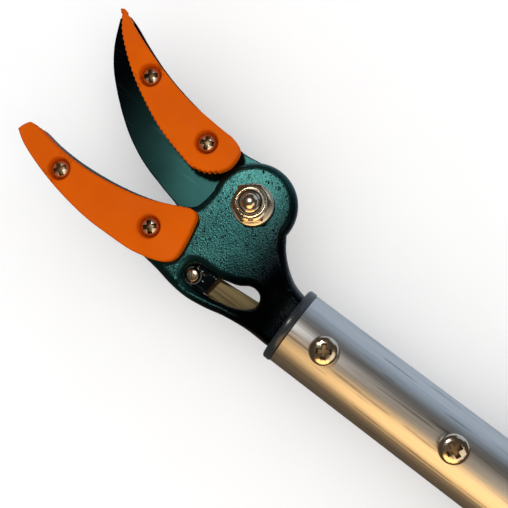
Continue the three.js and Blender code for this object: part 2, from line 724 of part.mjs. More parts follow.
place(head, "link_pin_clip", linkPinClip(), steel());
const strap = place(head, "pull_strap", pullStrap(), brass());
strap.position.set(LINK.x, LINK.y, 0);
strap.rotation.z = STRAP_ANGLE;
place(head, "tube_plug", tubePlug(), blackPlastic());
HEAD_SCREWS.forEach((x, i) =>
  place(
    head,
    `head_screw_${i + 1}`,
    crossScrew(x, HEAD_SCREW_Y, UPPER_TUBE.outer + GAP, 4.0, 2.4, 2.0, TANG.bottom + 0.4),
    nickel(),
  ),
);
place(head, "rod_clevis", rodClevis(), steel());
place(head, "clevis_pin", rodZ(1.5, CLEVIS_X, 0, -3.6, 3.6, 16), steel());

place(tool, "upper_tube", upperTube(), aluminium());
place(tool, "tail_bush", tailBush(), blackPlastic());
place(tool, "inner_pull_rod", innerPullRod(), steel());
place(tool, "outer_pull_tube", outerPullTube(), aluminium());
place(tool, "clutch_housing", clutchHousing(), steel());
place(tool, "clutch_plate", clutchPlate(), steel());
place(tool, "clutch_spring", spring(571.5, 581.6, 6.2, 0.6, 3), steel());

place(tool, "shuttle", shuttle(), blackPlastic());
place(tool, "shuttle_pin", rodZ(2.5, PIN_X, 0, -CHEEK.outer, CHEEK.outer), steel());
place(tool, "shuttle_roll_pin", rodY(1.5, PULL_TUBE.from + 12, -11.4, 11.4), steel());
place(tool, "return_spring", spring(SEAT.to + GAP, PIN_X - 12.4, 8.4, 0.9, 6), steel());
place(tool, "spring_seat", springSeat(), blackPlastic());
place(tool, "spring_seat_pin", rodZ(2.0, SEAT.pin, 0, -17, 17), steel());

place(tool, "lower_tube", lowerTube(), aluminium());
place(tool, "slide_bush", slideBush(), blackPlastic());
place(tool, "lock_collar", lockCollar(), blackPlastic());
place(tool, "lock_bolt", lockBolt(), nickel());
place(tool, "lock_nut", lockNut(), nickel());
place(tool, "lock_lever", lockLever(), orange());
place(tool, "lock_lever_pin", lockLeverPin(), steel());
place(tool, "fore_grip", foreGrip(), foam());

place(tool, "handle_shell_front", handleShell(0.15, 30), blackPlastic());
place(tool, "handle_shell_rear", handleShell(-30, -0.15), blackPlastic());
HANDLE_SCREWS.forEach((at, i) => place(tool, `handle_screw_${i + 1}`, handleScrew(at), nickel()));
place(tool, "trigger", trigger(), orange());
place(tool, "trigger_pin", rodZ(3.0, TRIGGER_PIVOT.x, TRIGGER_PIVOT.y, -19.2, 19.2), steel());
place(tool, "latch", latch(), orange());
place(tool, "latch_pin", rodZ(1.5, LATCH_PIVOT.x, LATCH_PIVOT.y, -8.7, 8.7, 12), steel());
place(tool, "end_cap", endCap(), blackPlastic());

export default tool;
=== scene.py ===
# %% [markdown]
# # A long-reach cut-and-hold pruner
# The tool is a painted cutting head on a telescoping aluminium pole. A trigger in the handle pulls
# a rod inside the pole, and the rod's strap swings the blade against the fixed hook, where two
# orange pads hold the cut stem. The CAD model is loaded first and stays where it is: it gives every
# place and size, and this script only gives its parts their finished shapes and surfaces.
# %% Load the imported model
import math

import bmesh
import bpy
from mathutils import Matrix, Vector, kdtree
from mathutils.geometry import interpolate_bezier


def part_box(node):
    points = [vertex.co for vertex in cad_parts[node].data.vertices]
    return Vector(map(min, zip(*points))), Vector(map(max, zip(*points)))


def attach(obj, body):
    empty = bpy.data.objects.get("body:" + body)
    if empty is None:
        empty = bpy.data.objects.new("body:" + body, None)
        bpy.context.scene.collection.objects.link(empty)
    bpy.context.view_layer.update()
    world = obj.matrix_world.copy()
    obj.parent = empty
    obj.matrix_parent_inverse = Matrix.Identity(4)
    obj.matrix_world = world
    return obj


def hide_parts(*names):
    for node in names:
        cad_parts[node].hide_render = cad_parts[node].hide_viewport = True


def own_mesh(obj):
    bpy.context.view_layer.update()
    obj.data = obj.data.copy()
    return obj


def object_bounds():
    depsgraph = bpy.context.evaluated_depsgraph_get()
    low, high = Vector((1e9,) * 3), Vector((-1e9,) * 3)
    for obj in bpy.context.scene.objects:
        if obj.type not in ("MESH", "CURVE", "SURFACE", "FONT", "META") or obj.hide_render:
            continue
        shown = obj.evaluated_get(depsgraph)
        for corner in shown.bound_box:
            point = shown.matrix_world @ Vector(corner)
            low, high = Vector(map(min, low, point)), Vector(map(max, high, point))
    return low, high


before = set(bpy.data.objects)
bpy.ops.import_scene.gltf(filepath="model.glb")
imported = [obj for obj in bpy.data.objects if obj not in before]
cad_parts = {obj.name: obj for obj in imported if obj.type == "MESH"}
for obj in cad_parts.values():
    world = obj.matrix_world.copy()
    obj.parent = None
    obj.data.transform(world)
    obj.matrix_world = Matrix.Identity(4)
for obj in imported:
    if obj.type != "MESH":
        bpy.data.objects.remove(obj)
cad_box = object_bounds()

scene = bpy.context.scene
MM = 0.001
MOUTH = Vector((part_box("upper_tube")[1].x + 1.2 * MM, 0, 0))
FLOOR_Z = cad_box[0][2]
print("mouth of the pole at x =", round(MOUTH.x, 4), "floor at z =", round(FLOOR_Z, 4))

# %% [markdown]
# ## Camera
# The camera comes first, so that every later trial is seen from the same place. It stands nearly
# straight above the head with a 50 mm lens. Its three axes are written out, because a camera turned
# by hand would have to be found again, and they make the object's rotation matrix directly.
# %% Camera above the head
CAMERA_RIGHT = Vector((-0.79341859, -0.59515368, -0.12758938))
CAMERA_UP = Vector((0.59113792, -0.80339457, 0.07150613))
CAMERA_BACK = Vector((-0.14506175, -0.01868862, 0.98924609))
CAMERA_OFFSET = Vector((-8.498, -13.695, 197.668)) * MM

lens = bpy.data.cameras.new("camera")
lens.lens, lens.sensor_width, lens.clip_start = 50, 36, 0.01
camera = bpy.data.objects.new("camera", lens)
turn_to = Matrix((CAMERA_RIGHT, CAMERA_UP, CAMERA_BACK)).transposed().to_4x4()
camera.matrix_world = Matrix.Translation(MOUTH + CAMERA_OFFSET) @ turn_to
scene.collection.objects.link(camera)
scene.camera = camera
print("camera height above the pole's axis:", round(camera.location.z, 4))


# %% [markdown]
# ## Light and floor
# An even pale sky lights everything that is matt, and leaves a soft shadow under the tool. Glossy
# rays see a much dimmer sky instead, so that bare metal and paint show the lamps and stay deep. The
# small key lamp puts one bright spot on the painted boss. A wide warm lamp on one side and a cool
# one on the other give the tube the two tones that show that it is round. These three only shine
# in gloss, so they cast no shadow on the sheet. The handle's lamp is a plain soft one.
# %% Lamps and floor
def lamp(name, offset, size, power, colour, only_gloss=False):
    data = bpy.data.lights.new(name, "AREA")
    data.shape, data.size, data.energy, data.color = "DISK", size, power, colour
    obj = bpy.data.objects.new(name, data)
    place = MOUTH + Vector(offset)
    look = (MOUTH - place).to_track_quat("-Z", "Y")
    obj.matrix_world = Matrix.Translation(place) @ look.to_matrix().to_4x4()
    obj.visible_diffuse = not only_gloss
    scene.collection.objects.link(obj)
    return obj


lamp("key_lamp", (0.099, -0.061, 0.34), 0.035, 0.30, (1.0, 0.97, 0.92), only_gloss=True)
warm_lamp = lamp("warm_lamp", (-0.25, 0.45, 0.40), 0.62, 2.7, (1.0, 0.60, 0.24), only_gloss=True)
lamp("cool_lamp", (-0.10, -0.60, 0.16), 0.45, 0.35, (0.62, 0.80, 1.0), only_gloss=True)
lamp("handle_lamp", (-0.55, 0.05, 0.75), 0.60, 1.0, (1.0, 0.88, 0.72))

SKY_FOR_DIFFUSE, SKY_FOR_GLOSS = (0.95, 0.955, 0.965), (0.070, 0.055, 0.042)
world = bpy.data.worlds.new("studio")
world.use_nodes = True
sky = world.node_tree
rays = sky.nodes.new("ShaderNodeLightPath")
tone = sky.nodes.new("ShaderNodeMix")
tone.data_type = "RGBA"
tone.inputs[6].default_value = (*SKY_FOR_DIFFUSE, 1)
tone.inputs[7].default_value = (*SKY_FOR_GLOSS, 1)
sky.links.new(rays.outputs["Is Glossy Ray"], tone.inputs[0])
sky.links.new(tone.outputs[2], sky.nodes["Background"].inputs["Color"])
scene.world = world
scene.view_settings.view_transform = "Standard"


# %% [markdown]
# ## Shader groups
# Paint, plastic and metal share a few effects: a fine grain, small pits, scratches, dust and worn
# edges. Each is a node group that is built once. A group only puts out numbers, and each material
# feeds them to its own colour, roughness and bump with its own strengths.
# %% Helpers for nodes
def node(tree, kind, inputs=(), **settings):
    made = tree.nodes.new(kind)
    for key, value in settings.items():
        setattr(made, key, value)
    for key, value in dict(inputs).items():
        if isinstance(value, bpy.types.NodeSocket):
            tree.links.new(value, made.inputs[key])
        else:
            made.inputs[key].default_value = value
    return made


def new_group(name, inputs, outputs):
    tree = bpy.data.node_groups.new(name, "ShaderNodeTree")
    for label, value in inputs.items():
        kind = "NodeSocketVector" if value is None else "NodeSocketFloat"
        socket = tree.interface.new_socket(name=label, in_out="INPUT", socket_type=kind)
        if value is not None:
            socket.default_value = value
    for label in outputs:
        tree.interface.new_socket(name=label, in_out="OUTPUT", socket_type="NodeSocketFloat")
    start = tree.nodes.new("NodeGroupInput")
    end = tree.nodes.new("NodeGroupOutput")
    return tree, start.outputs, end.inputs


def ramp(tree, value, low, high):
    made = node(tree, "ShaderNodeMapRange", {"Value": value}, interpolation_type="SMOOTHSTEP")
    made.inputs["From Min"].default_value = low
    made.inputs["From Max"].default_value = high
    return made.outputs["Result"]


def multiply(tree, a, b):
    return node(tree, "ShaderNodeMath", {0: a, 1: b}, operation="MULTIPLY").outputs[0]


# %% Grain: a fine and a coarse noise together
def build_grain():
    tree, given, out = new_group("grain", {"Vector": None, "Scale": 900.0, "Coarse": 0.4}, ["Height", "Mottle"])
    fine = node(tree, "ShaderNodeTexNoise", {"Vector": given["Vector"], "Scale": given["Scale"], "Detail": 4.0})
    broad_scale = multiply(tree, given["Scale"], 0.12)
    broad = node(tree, "ShaderNodeTexNoise", {"Vector": given["Vector"], "Scale": broad_scale, "Detail": 3.0})
    both = node(tree, "ShaderNodeMix", {0: given["Coarse"], 2: fine.outputs["Fac"], 3: broad.outputs["Fac"]})
    tree.links.new(both.outputs[0], out["Height"])
    tree.links.new(broad.outputs["Fac"], out["Mottle"])
    return tree


# %% Pits: small round dents, thinned out by a noise
def build_pits():
    tree, given, out = new_group("pits", {"Vector": None, "Scale": 700.0, "Share": 0.5}, ["Mask", "Blisters"])
    cells = node(tree, "ShaderNodeTexVoronoi", {"Vector": given["Vector"], "Scale": given["Scale"]})
    patch_scale = multiply(tree, given["Scale"], 0.3)
    patches = node(tree, "ShaderNodeTexNoise", {"Vector": given["Vector"], "Scale": patch_scale, "Detail": 3.0})
    dent = ramp(tree, cells.outputs["Distance"], 0.34, 0.12)
    spread = node(tree, "ShaderNodeMath", {0: 1.0, 1: given["Share"]}, operation="SUBTRACT")
    above = node(tree, "ShaderNodeMath", {0: patches.outputs["Fac"], 1: spread.outputs[0]}, operation="SUBTRACT")
    kept = ramp(tree, above.outputs[0], 0.0, 0.08)
    tree.links.new(multiply(tree, dent, kept), out["Mask"])
    bumps = node(
        tree, "ShaderNodeTexVoronoi", {"Vector": given["Vector"], "Scale": given["Scale"]},
        feature="SMOOTH_F1",
    )
    tree.links.new(bumps.outputs["Distance"], out["Blisters"])
    return tree


# %% Scratches: noise drawn out along two slanted directions
def build_scratches():
    tree, given, out = new_group("scratches", {"Vector": None, "Scale": 60.0, "Amount": 0.5}, ["Mask"])
    sets = []
    for angle, stretch in ((0.35, 14.0), (-0.6, 22.0)):
        slanted = node(
            tree, "ShaderNodeMapping",
            {"Vector": given["Vector"], "Rotation": (0.2, angle, angle), "Scale": (1, stretch, stretch)},
        )
        lines = node(
            tree, "ShaderNodeTexNoise",
            {"Vector": slanted.outputs[0], "Scale": given["Scale"], "Detail": 2.0},
        )
        sets.append(ramp(tree, lines.outputs["Fac"], 0.64, 0.70))
    either = node(tree, "ShaderNodeMath", {0: sets[0], 1: sets[1]}, operation="MAXIMUM")
    tree.links.new(multiply(tree, either.outputs[0], given["Amount"]), out["Mask"])
    return tree


# %% Wear: the sharpest edges, broken up by a noise
def build_wear():
    tree, given, out = new_group("edge_wear", {"Vector": None, "Scale": 300.0, "Amount": 0.5}, ["Mask"])
    edge = node(tree, "ShaderNodeNewGeometry").outputs["Pointiness"]
    noise = node(tree, "ShaderNodeTexNoise", {"Vector": given["Vector"], "Scale": given["Scale"], "Detail": 5.0})
    rubbed = multiply(tree, ramp(tree, edge, 0.53, 0.62), ramp(tree, noise.outputs["Fac"], 0.45, 0.62))
    tree.links.new(multiply(tree, rubbed, given["Amount"]), out["Mask"])
    return tree


# %% Dust: soft patches that settle on faces that look up
def build_dust():
    tree, given, out = new_group("dust", {"Vector": None, "Scale": 40.0, "Amount": 0.3}, ["Mask"])
    normal = node(tree, "ShaderNodeNewGeometry").outputs["Normal"]
    height = node(tree, "ShaderNodeSeparateXYZ", {"Vector": normal}).outputs["Z"]
    noise = node(tree, "ShaderNodeTexNoise", {"Vector": given["Vector"], "Scale": given["Scale"], "Detail": 6.0})
    settled = multiply(tree, ramp(tree, height, 0.2, 1.0), ramp(tree, noise.outputs["Fac"], 0.42, 0.75))
    tree.links.new(multiply(tree, settled, given["Amount"]), out["Mask"])
    return tree


groups = {
    "grain": build_grain(), "pits": build_pits(), "scratches": build_scratches(), "wear": build_wear(),
    "dust": build_dust(),
}
print("shader groups:", ", ".join(groups))


# %% [markdown]
# ## Finishes
# Every finish starts from the same small kit: object coordinates, a Principled BSDF, and helpers
# that place a group, blend two colours by a mask and stack bumps. The coordinates are metres, so a
# scale of 1000 makes cells about a millimetre wide, whatever piece the finish is on.
# %% Kit for one finish
class Finish:
    def __init__(self, name, roughness=0.5, metallic=0.0, coat=0.0, coat_roughness=0.1, specular=0.5):
        self.material = bpy.data.materials.new(name)
        self.material.use_nodes = True
        self.tree = self.material.node_tree
        self.shader = self.tree.nodes["Principled BSDF"]
        for key, value in (
            ("Roughness", roughness), ("Metallic", metallic), ("Coat Weight", coat),
            ("Coat Roughness", coat_roughness), ("Specular IOR Level", specular),
        ):
            self.shader.inputs[key].default_value = value
        self.coordinates = node(self.tree, "ShaderNodeTexCoord").outputs["Object"]
        self.last_normal = None

    def placed(self, location=(0, 0, 0), rotation=(0, 0, 0), scale=(1, 1, 1)):
        inputs = {"Vector": self.coordinates, "Location": location, "Rotation": rotation, "Scale": scale}
        return node(self.tree, "ShaderNodeMapping", inputs).outputs[0]

    def group(self, name, output, vector=None, **inputs):
        made = node(self.tree, "ShaderNodeGroup", node_tree=groups[name])
        self.tree.links.new(vector or self.coordinates, made.inputs["Vector"])
        for key, value in inputs.items():
            made.inputs[key].default_value = value
        return made.outputs[output]

    def mix(self, mask, first, second):
        made = node(self.tree, "ShaderNodeMix", {"Factor": mask}, data_type="RGBA")
        for socket, value in ((made.inputs[6], first), (made.inputs[7], second)):
            if isinstance(value, bpy.types.NodeSocket):
                self.tree.links.new(value, socket)
            else:
                socket.default_value = (*value, 1)
        return made.outputs[2]

    def bump(self, height, strength, depth):
        made = node(self.tree, "ShaderNodeBump", {"Height": height, "Strength": strength, "Distance": depth})
        if self.last_normal:
            self.tree.links.new(self.last_normal, made.inputs["Normal"])
        self.last_normal = made.outputs[0]

    def done(self, colour, roughness=None):
        self.tree.links.new(colour, self.shader.inputs["Base Color"])
        if roughness is not None:
            self.tree.links.new(roughness, self.shader.inputs["Roughness"])
        if self.last_normal:
            self.tree.links.new(self.last_normal, self.shader.inputs["Normal"])
        return self.material

    def between(self, mask, low, high):
        made = node(self.tree, "ShaderNodeMapRange", {"Value": mask})
        made.inputs["To Min"].default_value = low
        made.inputs["To Max"].default_value = high
        return made.outputs["Result"]

    def along(self, axis, start, end):
        value = node(self.tree, "ShaderNodeSeparateXYZ", {"Vector": self.coordinates}).outputs[axis]
        return ramp(self.tree, value, start, end)


# %% [markdown]
# The head is sprayed with a teal paint that dries with a hammered skin: fine bumps, and small dark
# pits where the spray drew back. The blade has a thinner, smoother coat of the same paint. Both coats
# carry painted shade: the head's paint turns near black towards the neck, the blade's towards its
# tip and over its arm under the head. Metallic flakes make both coats reflect like tinted metal
# rather than plastic, so they are nearly fully metallic with a dark base colour, and the worn edges
# show a lighter rim.
# %% Paint of the head and of the blade
TEAL_LIGHT, TEAL_DARK, PIT = (0.029, 0.112, 0.108), (0.014, 0.058, 0.058), (0.0015, 0.004, 0.004)
# PAINTED_SHADE_BLACK is painted shade: the near black laid where the light falls off on the paint.
PAINTED_SHADE_BLACK, BARE_EDGE = (0.0018, 0.0028, 0.0040), (0.10, 0.22, 0.20)


def casting_paint():
    f = Finish("casting_paint", metallic=0.95, specular=0.2)
    mottle = f.group("grain", "Mottle", Scale=700.0, Coarse=0.5)
    height = f.group("grain", "Height", Scale=2600.0, Coarse=0.2)
    pits = f.group("pits", "Mask", vector=f.placed(rotation=(0, 0, 0.5), scale=(1, 0.6, 1)), Scale=1700.0, Share=0.50)
    blisters = f.group("pits", "Blisters", Scale=2400.0, Share=0.5)
    colour = f.mix(ramp(f.tree, mottle, 0.35, 0.68), TEAL_DARK, TEAL_LIGHT)
    # Painted shade: the head's paint darkens to near black towards the neck, from x = 33 mm to 13 mm.
    colour = f.mix(f.along("X", MOUTH.x + 33 * MM, MOUTH.x + 13 * MM), colour, PAINTED_SHADE_BLACK)
    colour = f.mix(pits, colour, PIT)
    colour = f.mix(f.group("wear", "Mask", Scale=500.0, Amount=0.25), colour, BARE_EDGE)
    colour = f.mix(f.group("dust", "Mask", Scale=90.0, Amount=0.015), colour, (0.3, 0.33, 0.3))
    f.bump(height, 0.40, 0.00018)
    f.bump(blisters, 0.30, 0.00016)
    f.bump(f.between(pits, 1.0, 0.0), 0.8, 0.00022)
    return f.done(colour, f.between(mottle, 0.24, 0.34))


def blade_paint():
    f = Finish("blade_paint", metallic=0.95, specular=0.2)
    mottle = f.group("grain", "Mottle", Scale=500.0, Coarse=0.5)
    height = f.group("grain", "Height", Scale=2200.0, Coarse=0.3)
    scratches = f.group("scratches", "Mask", Scale=45.0, Amount=0.35)
    pits = f.group("pits", "Mask", Scale=420.0, Share=0.3)
    colour = f.mix(ramp(f.tree, mottle, 0.3, 0.7), (0.010, 0.039, 0.039), (0.018, 0.068, 0.066))
    # Painted shade: the blade darkens to near black towards its tip, from x = 48 mm to 86 mm.
    colour = f.mix(f.along("X", MOUTH.x + 48 * MM, MOUTH.x + 86 * MM), colour, PAINTED_SHADE_BLACK)
    colour = f.mix(multiply(f.tree, pits, 0.5), colour, PIT)
    # Painted shade: the blade darkens to near black as y rises from -11 mm to -2 mm, over the arm, which lies under
    # the head.
    colour = f.mix(f.along("Y", -11 * MM, -2 * MM), colour, PAINTED_SHADE_BLACK)
    grease = multiply(f.tree, f.group("pits", "Mask", Scale=1300.0, Share=0.5), f.along("Y", 0.0, 4 * MM))
    colour = f.mix(grease, colour, (0.55, 0.65, 0.72))
    colour = f.mix(multiply(f.tree, scratches, 0.25), colour, BARE_EDGE)
    colour = f.mix(f.group("wear", "Mask", Scale=160.0, Amount=0.6), colour, (0.30, 0.24, 0.14))
    f.bump(height, 0.15, 0.00006)
    f.bump(f.between(scratches, 1.0, 0.0), 0.15, 0.00004)
    return f.done(colour, f.between(mottle, 0.27, 0.38))


# %% [markdown]
# The grip pads and the trigger are moulded plastic. A moulded face is never flat: it has a fine
# spark-eroded grain, a faint flow mottle and a little dirt that collects in the grain. One
# function makes them all, because only the colours and the size of the grain differ.
# %% Moulded plastics
def moulded(name, light, dark, grain, strength, gloss=0.45, dirt=0.05, coat=0.0, specular=0.3):
    f = Finish(name, coat=coat, coat_roughness=0.25, specular=specular)
    mottle = f.group("grain", "Mottle", Scale=grain * 0.35, Coarse=0.5)
    height = f.group("grain", "Height", Scale=grain, Coarse=0.2)
    colour = f.mix(ramp(f.tree, mottle, 0.3, 0.7), dark, light)
    colour = f.mix(f.group("dust", "Mask", Scale=110.0, Amount=dirt), colour, (0.36, 0.31, 0.25))
    colour = f.mix(f.group("scratches", "Mask", Scale=50.0, Amount=0.4 * dirt), colour, (0.7, 0.6, 0.5))
    colour = f.mix(f.group("wear", "Mask", Scale=220.0, Amount=dirt), colour, (0.75, 0.62, 0.5))
    f.bump(height, strength, 0.00008)
    return f.done(colour, f.between(mottle, gloss - 0.06, gloss + 0.08))


def foam_rubber():
    f = Finish("foam", specular=0.25)
    mottle = f.group("grain", "Mottle", Scale=500.0, Coarse=0.5)
    cells = f.group("pits", "Mask", Scale=900.0, Share=0.62)
    colour = f.mix(ramp(f.tree, mottle, 0.3, 0.7), (0.010, 0.011, 0.012), (0.028, 0.029, 0.031))
    colour = f.mix(cells, colour, (0.004, 0.004, 0.004))
    colour = f.mix(f.group("dust", "Mask", Scale=60.0, Amount=0.12), colour, (0.2, 0.19, 0.17))
    f.bump(f.between(cells, 1.0, 0.0), 0.7, 0.0003)
    return f.done(colour, f.between(mottle, 0.78, 0.95))


# %% [markdown]
# The pole is drawn aluminium tube. Drawing leaves fine lines along it, and use leaves short dark
# scratches across them. The lines are a noise stretched far along X, so they follow the pole, and
# they feed both the colour and the roughness, as real draw marks do.
# %% Metals
def drawn_tube(name, light, dark, roughness):
    f = Finish(name, metallic=1.0)
    lines = node(
        f.tree, "ShaderNodeTexNoise",
        {"Vector": f.placed(scale=(0.012, 1, 1)), "Scale": 2600.0, "Detail": 3.0},
    ).outputs["Fac"]
    bands = node(
        f.tree, "ShaderNodeTexNoise", {"Vector": f.placed(scale=(0.05, 1, 1)), "Scale": 240.0, "Detail": 4.0},
    ).outputs["Fac"]
    specks = f.group("pits", "Mask", Scale=520.0, Share=0.30)
    scratches = f.group("scratches", "Mask", Scale=38.0, Amount=0.8)
    colour = f.mix(ramp(f.tree, lines, 0.3, 0.7), dark, light)
    colour = f.mix(multiply(f.tree, ramp(f.tree, bands, 0.5, 0.8), 0.35), colour, dark)
    colour = f.mix(multiply(f.tree, specks, 0.6), colour, (0.05, 0.045, 0.04))
    colour = f.mix(multiply(f.tree, scratches, 0.5), colour, (0.08, 0.075, 0.07))
    f.bump(lines, 0.06, 0.00005)
    f.bump(f.between(scratches, 1.0, 0.0), 0.3, 0.00006)
    return f.done(colour, f.between(lines, roughness - 0.06, roughness + 0.08))


def plain_metal(name, light, dark, roughness, wear=0.3):
    f = Finish(name, metallic=1.0)
    mottle = f.group("grain", "Mottle", Scale=1200.0, Coarse=0.5)
    scratches = f.group("scratches", "Mask", Scale=120.0, Amount=wear)
    colour = f.mix(ramp(f.tree, mottle, 0.35, 0.7), dark, light)
    colour = f.mix(f.group("pits", "Mask", Scale=900.0, Share=0.28), colour, (0.10, 0.07, 0.045))
    f.bump(f.between(scratches, 1.0, 0.0), 0.2, 0.00003)
    return f.done(colour, f.between(mottle, roughness - 0.04, roughness + 0.10))


def strap_brass():
    f = Finish("brass_strap", metallic=0.9)
    lines = node(
        f.tree, "ShaderNodeTexNoise",
        {"Vector": f.placed(scale=(0.03, 1, 1)), "Scale": 1500.0, "Detail": 3.0},
    ).outputs["Fac"]
    stain = f.group("grain", "Mottle", Scale=800.0, Coarse=0.5)
    colour = f.mix(ramp(f.tree, lines, 0.3, 0.7), (0.085, 0.062, 0.030), (0.19, 0.145, 0.072))
    colour = f.mix(ramp(f.tree, stain, 0.45, 0.75), colour, (0.03, 0.022, 0.012))
    f.bump(lines, 0.15, 0.00004)
    return f.done(colour, f.between(stain, 0.28, 0.5))


finishes = {
    "casting_paint": casting_paint(),
    "blade_paint": blade_paint(),
    "orange_grip": moulded(
        "orange_grip", (0.68, 0.104, 0.0001), (0.61, 0.089, 0.0001), 1500.0, 0.18, gloss=0.6, dirt=0.01,
        specular=0.03,
    ),
    "orange_plastic": moulded(
        "orange_plastic", (0.66, 0.11, 0.003), (0.56, 0.088, 0.002), 1300.0, 0.25, gloss=0.45, dirt=0.05,
        specular=0.2,
    ),
    "black_plastic": moulded(
        "black_plastic", (0.042, 0.043, 0.046), (0.032, 0.033, 0.035), 1700.0, 0.4, gloss=0.5, dirt=0.04,
    ),
    "soft_grip": moulded(
        "soft_grip", (0.030, 0.031, 0.033), (0.022, 0.023, 0.025), 900.0, 0.6, gloss=0.72, dirt=0.05,
        specular=0.2,
    ),
    "plug_plastic": moulded(
        "plug_plastic", (0.020, 0.026, 0.031), (0.010, 0.013, 0.016), 1100.0, 0.12, gloss=0.26, dirt=0.03,
        coat=0.5,
    ),
    "foam": foam_rubber(),
    "aluminium": drawn_tube("aluminium", (0.62, 0.63, 0.64), (0.51, 0.515, 0.52), 0.38),
    "nickel": plain_metal("nickel", (0.74, 0.66, 0.54), (0.60, 0.52, 0.41), 0.16, wear=0.4),
    "dull_nickel": plain_metal("dull_nickel", (0.90, 0.88, 0.82), (0.76, 0.73, 0.66), 0.36),
    "steel": plain_metal("steel", (0.46, 0.45, 0.43), (0.34, 0.33, 0.32), 0.32),
    "oiled_steel": plain_metal("oiled_steel", (0.10, 0.10, 0.10), (0.05, 0.05, 0.05), 0.3),
    "brass_strap": strap_brass(),
    # recess_shade is painted shade: a darker brown metal for the faces inside the screws' cross recesses.
    "recess_shade": plain_metal("recess_shade", (0.42, 0.31, 0.18), (0.20, 0.14, 0.08), 0.38),
    "spring_steel": plain_metal("spring_steel", (0.40, 0.41, 0.43), (0.30, 0.31, 0.33), 0.24),
}
print(len(finishes), "finishes")


# %% [markdown]
# ## Helpers for shapes
# Most parts of the head are plates with a smooth outline, so one helper draws a smooth run through
# a few measured points, and one turns an outline into a plate with rolled edges. Round parts are
# a profile that is spun about an axis.
# %% Smooth runs through points
def spline(points, spacing=0.5):
    """A smooth run through the points (in mm), evenly spaced."""
    p = [Vector((x, y, 0)) for x, y in points]
    fine = []
    for i in range(len(p) - 1):
        before, after = p[max(i - 1, 0)], p[min(i + 2, len(p) - 1)]
        lean_out, lean_in = (p[i + 1] - before) / 6, (after - p[i]) / 6
        fine += interpolate_bezier(p[i], p[i] + lean_out, p[i + 1] - lean_in, p[i + 1], 25)[:-1]
    fine.append(p[-1])
    return evenly(fine, spacing)


def evenly(run, spacing):
    total = sum((b - a).length for a, b in zip(run, run[1:]))
    count = max(1, round(total / spacing))
    made, travelled, target = [run[0]], 0.0, total / count
    for a, b in zip(run, run[1:]):
        length = (b - a).length
        while length > 0 and travelled + length >= target - 1e-9 and len(made) < count:
            made.append(a.lerp(b, (target - travelled) / length))
            target = total * len(made) / count
        travelled += length
    return made + [run[-1]]


def arc(x, y, radius, start, end, spacing=0.5):
    """Part of a circle, its angles in degrees."""
    count = max(6, round(abs(math.radians(end - start)) * radius / spacing))
    angles = [math.radians(start + (end - start) * i / count) for i in range(count + 1)]
    return [Vector((x + radius * math.cos(a), y + radius * math.sin(a), 0)) for a in angles]


def outline(*runs):
    """Joins runs end to end into one closed loop, in metres from the origin."""
    loop = []
    for run in runs:
        for point in run:
            if not loop or (point - loop[-1]).length > 0.02:
                loop.append(point)
    if (loop[0] - loop[-1]).length < 0.02:
        loop.pop()
    return loop


# %% A plate with rolled edges
def rolled(bm, faces, radius, direction, steps):
    """Insets the faces step by step and sinks the rim, so that the edge follows a quarter circle."""
    for i in range(steps):
        here, there = (math.radians(90 * k / steps) for k in (i, i + 1))
        inward = radius * (math.cos(here) - math.cos(there))
        rise = radius * (math.sin(there) - math.sin(here))
        bmesh.ops.inset_region(bm, faces=faces, thickness=inward * MM, use_boundary=True, use_even_offset=False)
        verts = list({v for f in faces for v in f.verts})
        bmesh.ops.translate(bm, verts=verts, vec=(0, 0, direction * rise * MM))
    bmesh.ops.inset_region(bm, faces=faces, thickness=0.15 * MM, use_boundary=True, use_even_offset=False)


def plate(loops, back, front, round_back=0.3, round_front=0.3, steps=5, origin=MOUTH):
    """A plate from one outer loop and any holes, from z back to z front (in mm)."""
    bm = bmesh.new()
    for loop in loops:
        verts = [bm.verts.new(origin + Vector((p.x, p.y, back + round_back)) * MM) for p in loop]
        for a, b in zip(verts, verts[1:] + verts[:1]):
            bm.edges.new((a, b))
    bmesh.ops.triangle_fill(bm, use_beauty=True, use_dissolve=False, edges=bm.edges[:], normal=(0, 0, 1))
    made = bmesh.ops.extrude_face_region(bm, geom=bm.faces[:])
    top = [g for g in made["geom"] if isinstance(g, bmesh.types.BMFace)]
    lift = (front - round_front - back - round_back) * MM
    bmesh.ops.translate(bm, verts=list({v for f in top for v in f.verts}), vec=(0, 0, lift))
    bmesh.ops.recalc_face_normals(bm, faces=bm.faces[:])
    bottom = [f for f in bm.faces if f.normal.z < -0.9]
    if round_front:
        rolled(bm, top, round_front, 1, steps)
    if round_back:
        rolled(bm, bottom, round_back, -1, max(2, steps // 2))
    return bm


# %% Spun shapes, rounded blocks and joining
def spun(profile, centre, axis="Z", steps=64):
    """Spins (radius, distance along the axis) pairs in mm about the axis through the centre."""
    along, out = (Vector((1, 0, 0)), Vector((0, 1, 0))) if axis == "X" else (Vector((0, 0, 1)), Vector((1, 0, 0)))
    bm = bmesh.new()
    verts = [bm.verts.new(centre + along * (h * MM) + out * (r * MM)) for r, h in profile]
    edges = [bm.edges.new(pair) for pair in zip(verts, verts[1:])]
    bmesh.ops.spin(bm, geom=verts + edges, cent=centre, axis=along, angle=2 * math.pi, steps=steps, use_merge=True)
    bmesh.ops.remove_doubles(bm, verts=bm.verts[:], dist=1e-6)
    bmesh.ops.recalc_face_normals(bm, faces=bm.faces[:])
    return bm


def block(low, high, rounding, segments=3, origin=MOUTH):
    low, high = origin + Vector(low) * MM, origin + Vector(high) * MM
    bm = bmesh.new()
    matrix = Matrix.Translation((low + high) / 2) @ Matrix.Diagonal((*(high - low), 1))
    bmesh.ops.create_cube(bm, size=1, matrix=matrix)
    bmesh.ops.bevel(
        bm, geom=bm.edges[:], offset=rounding * MM, offset_type="OFFSET", segments=segments, profile=0.5,
        affect="EDGES", material=-1,
    )
    return bm


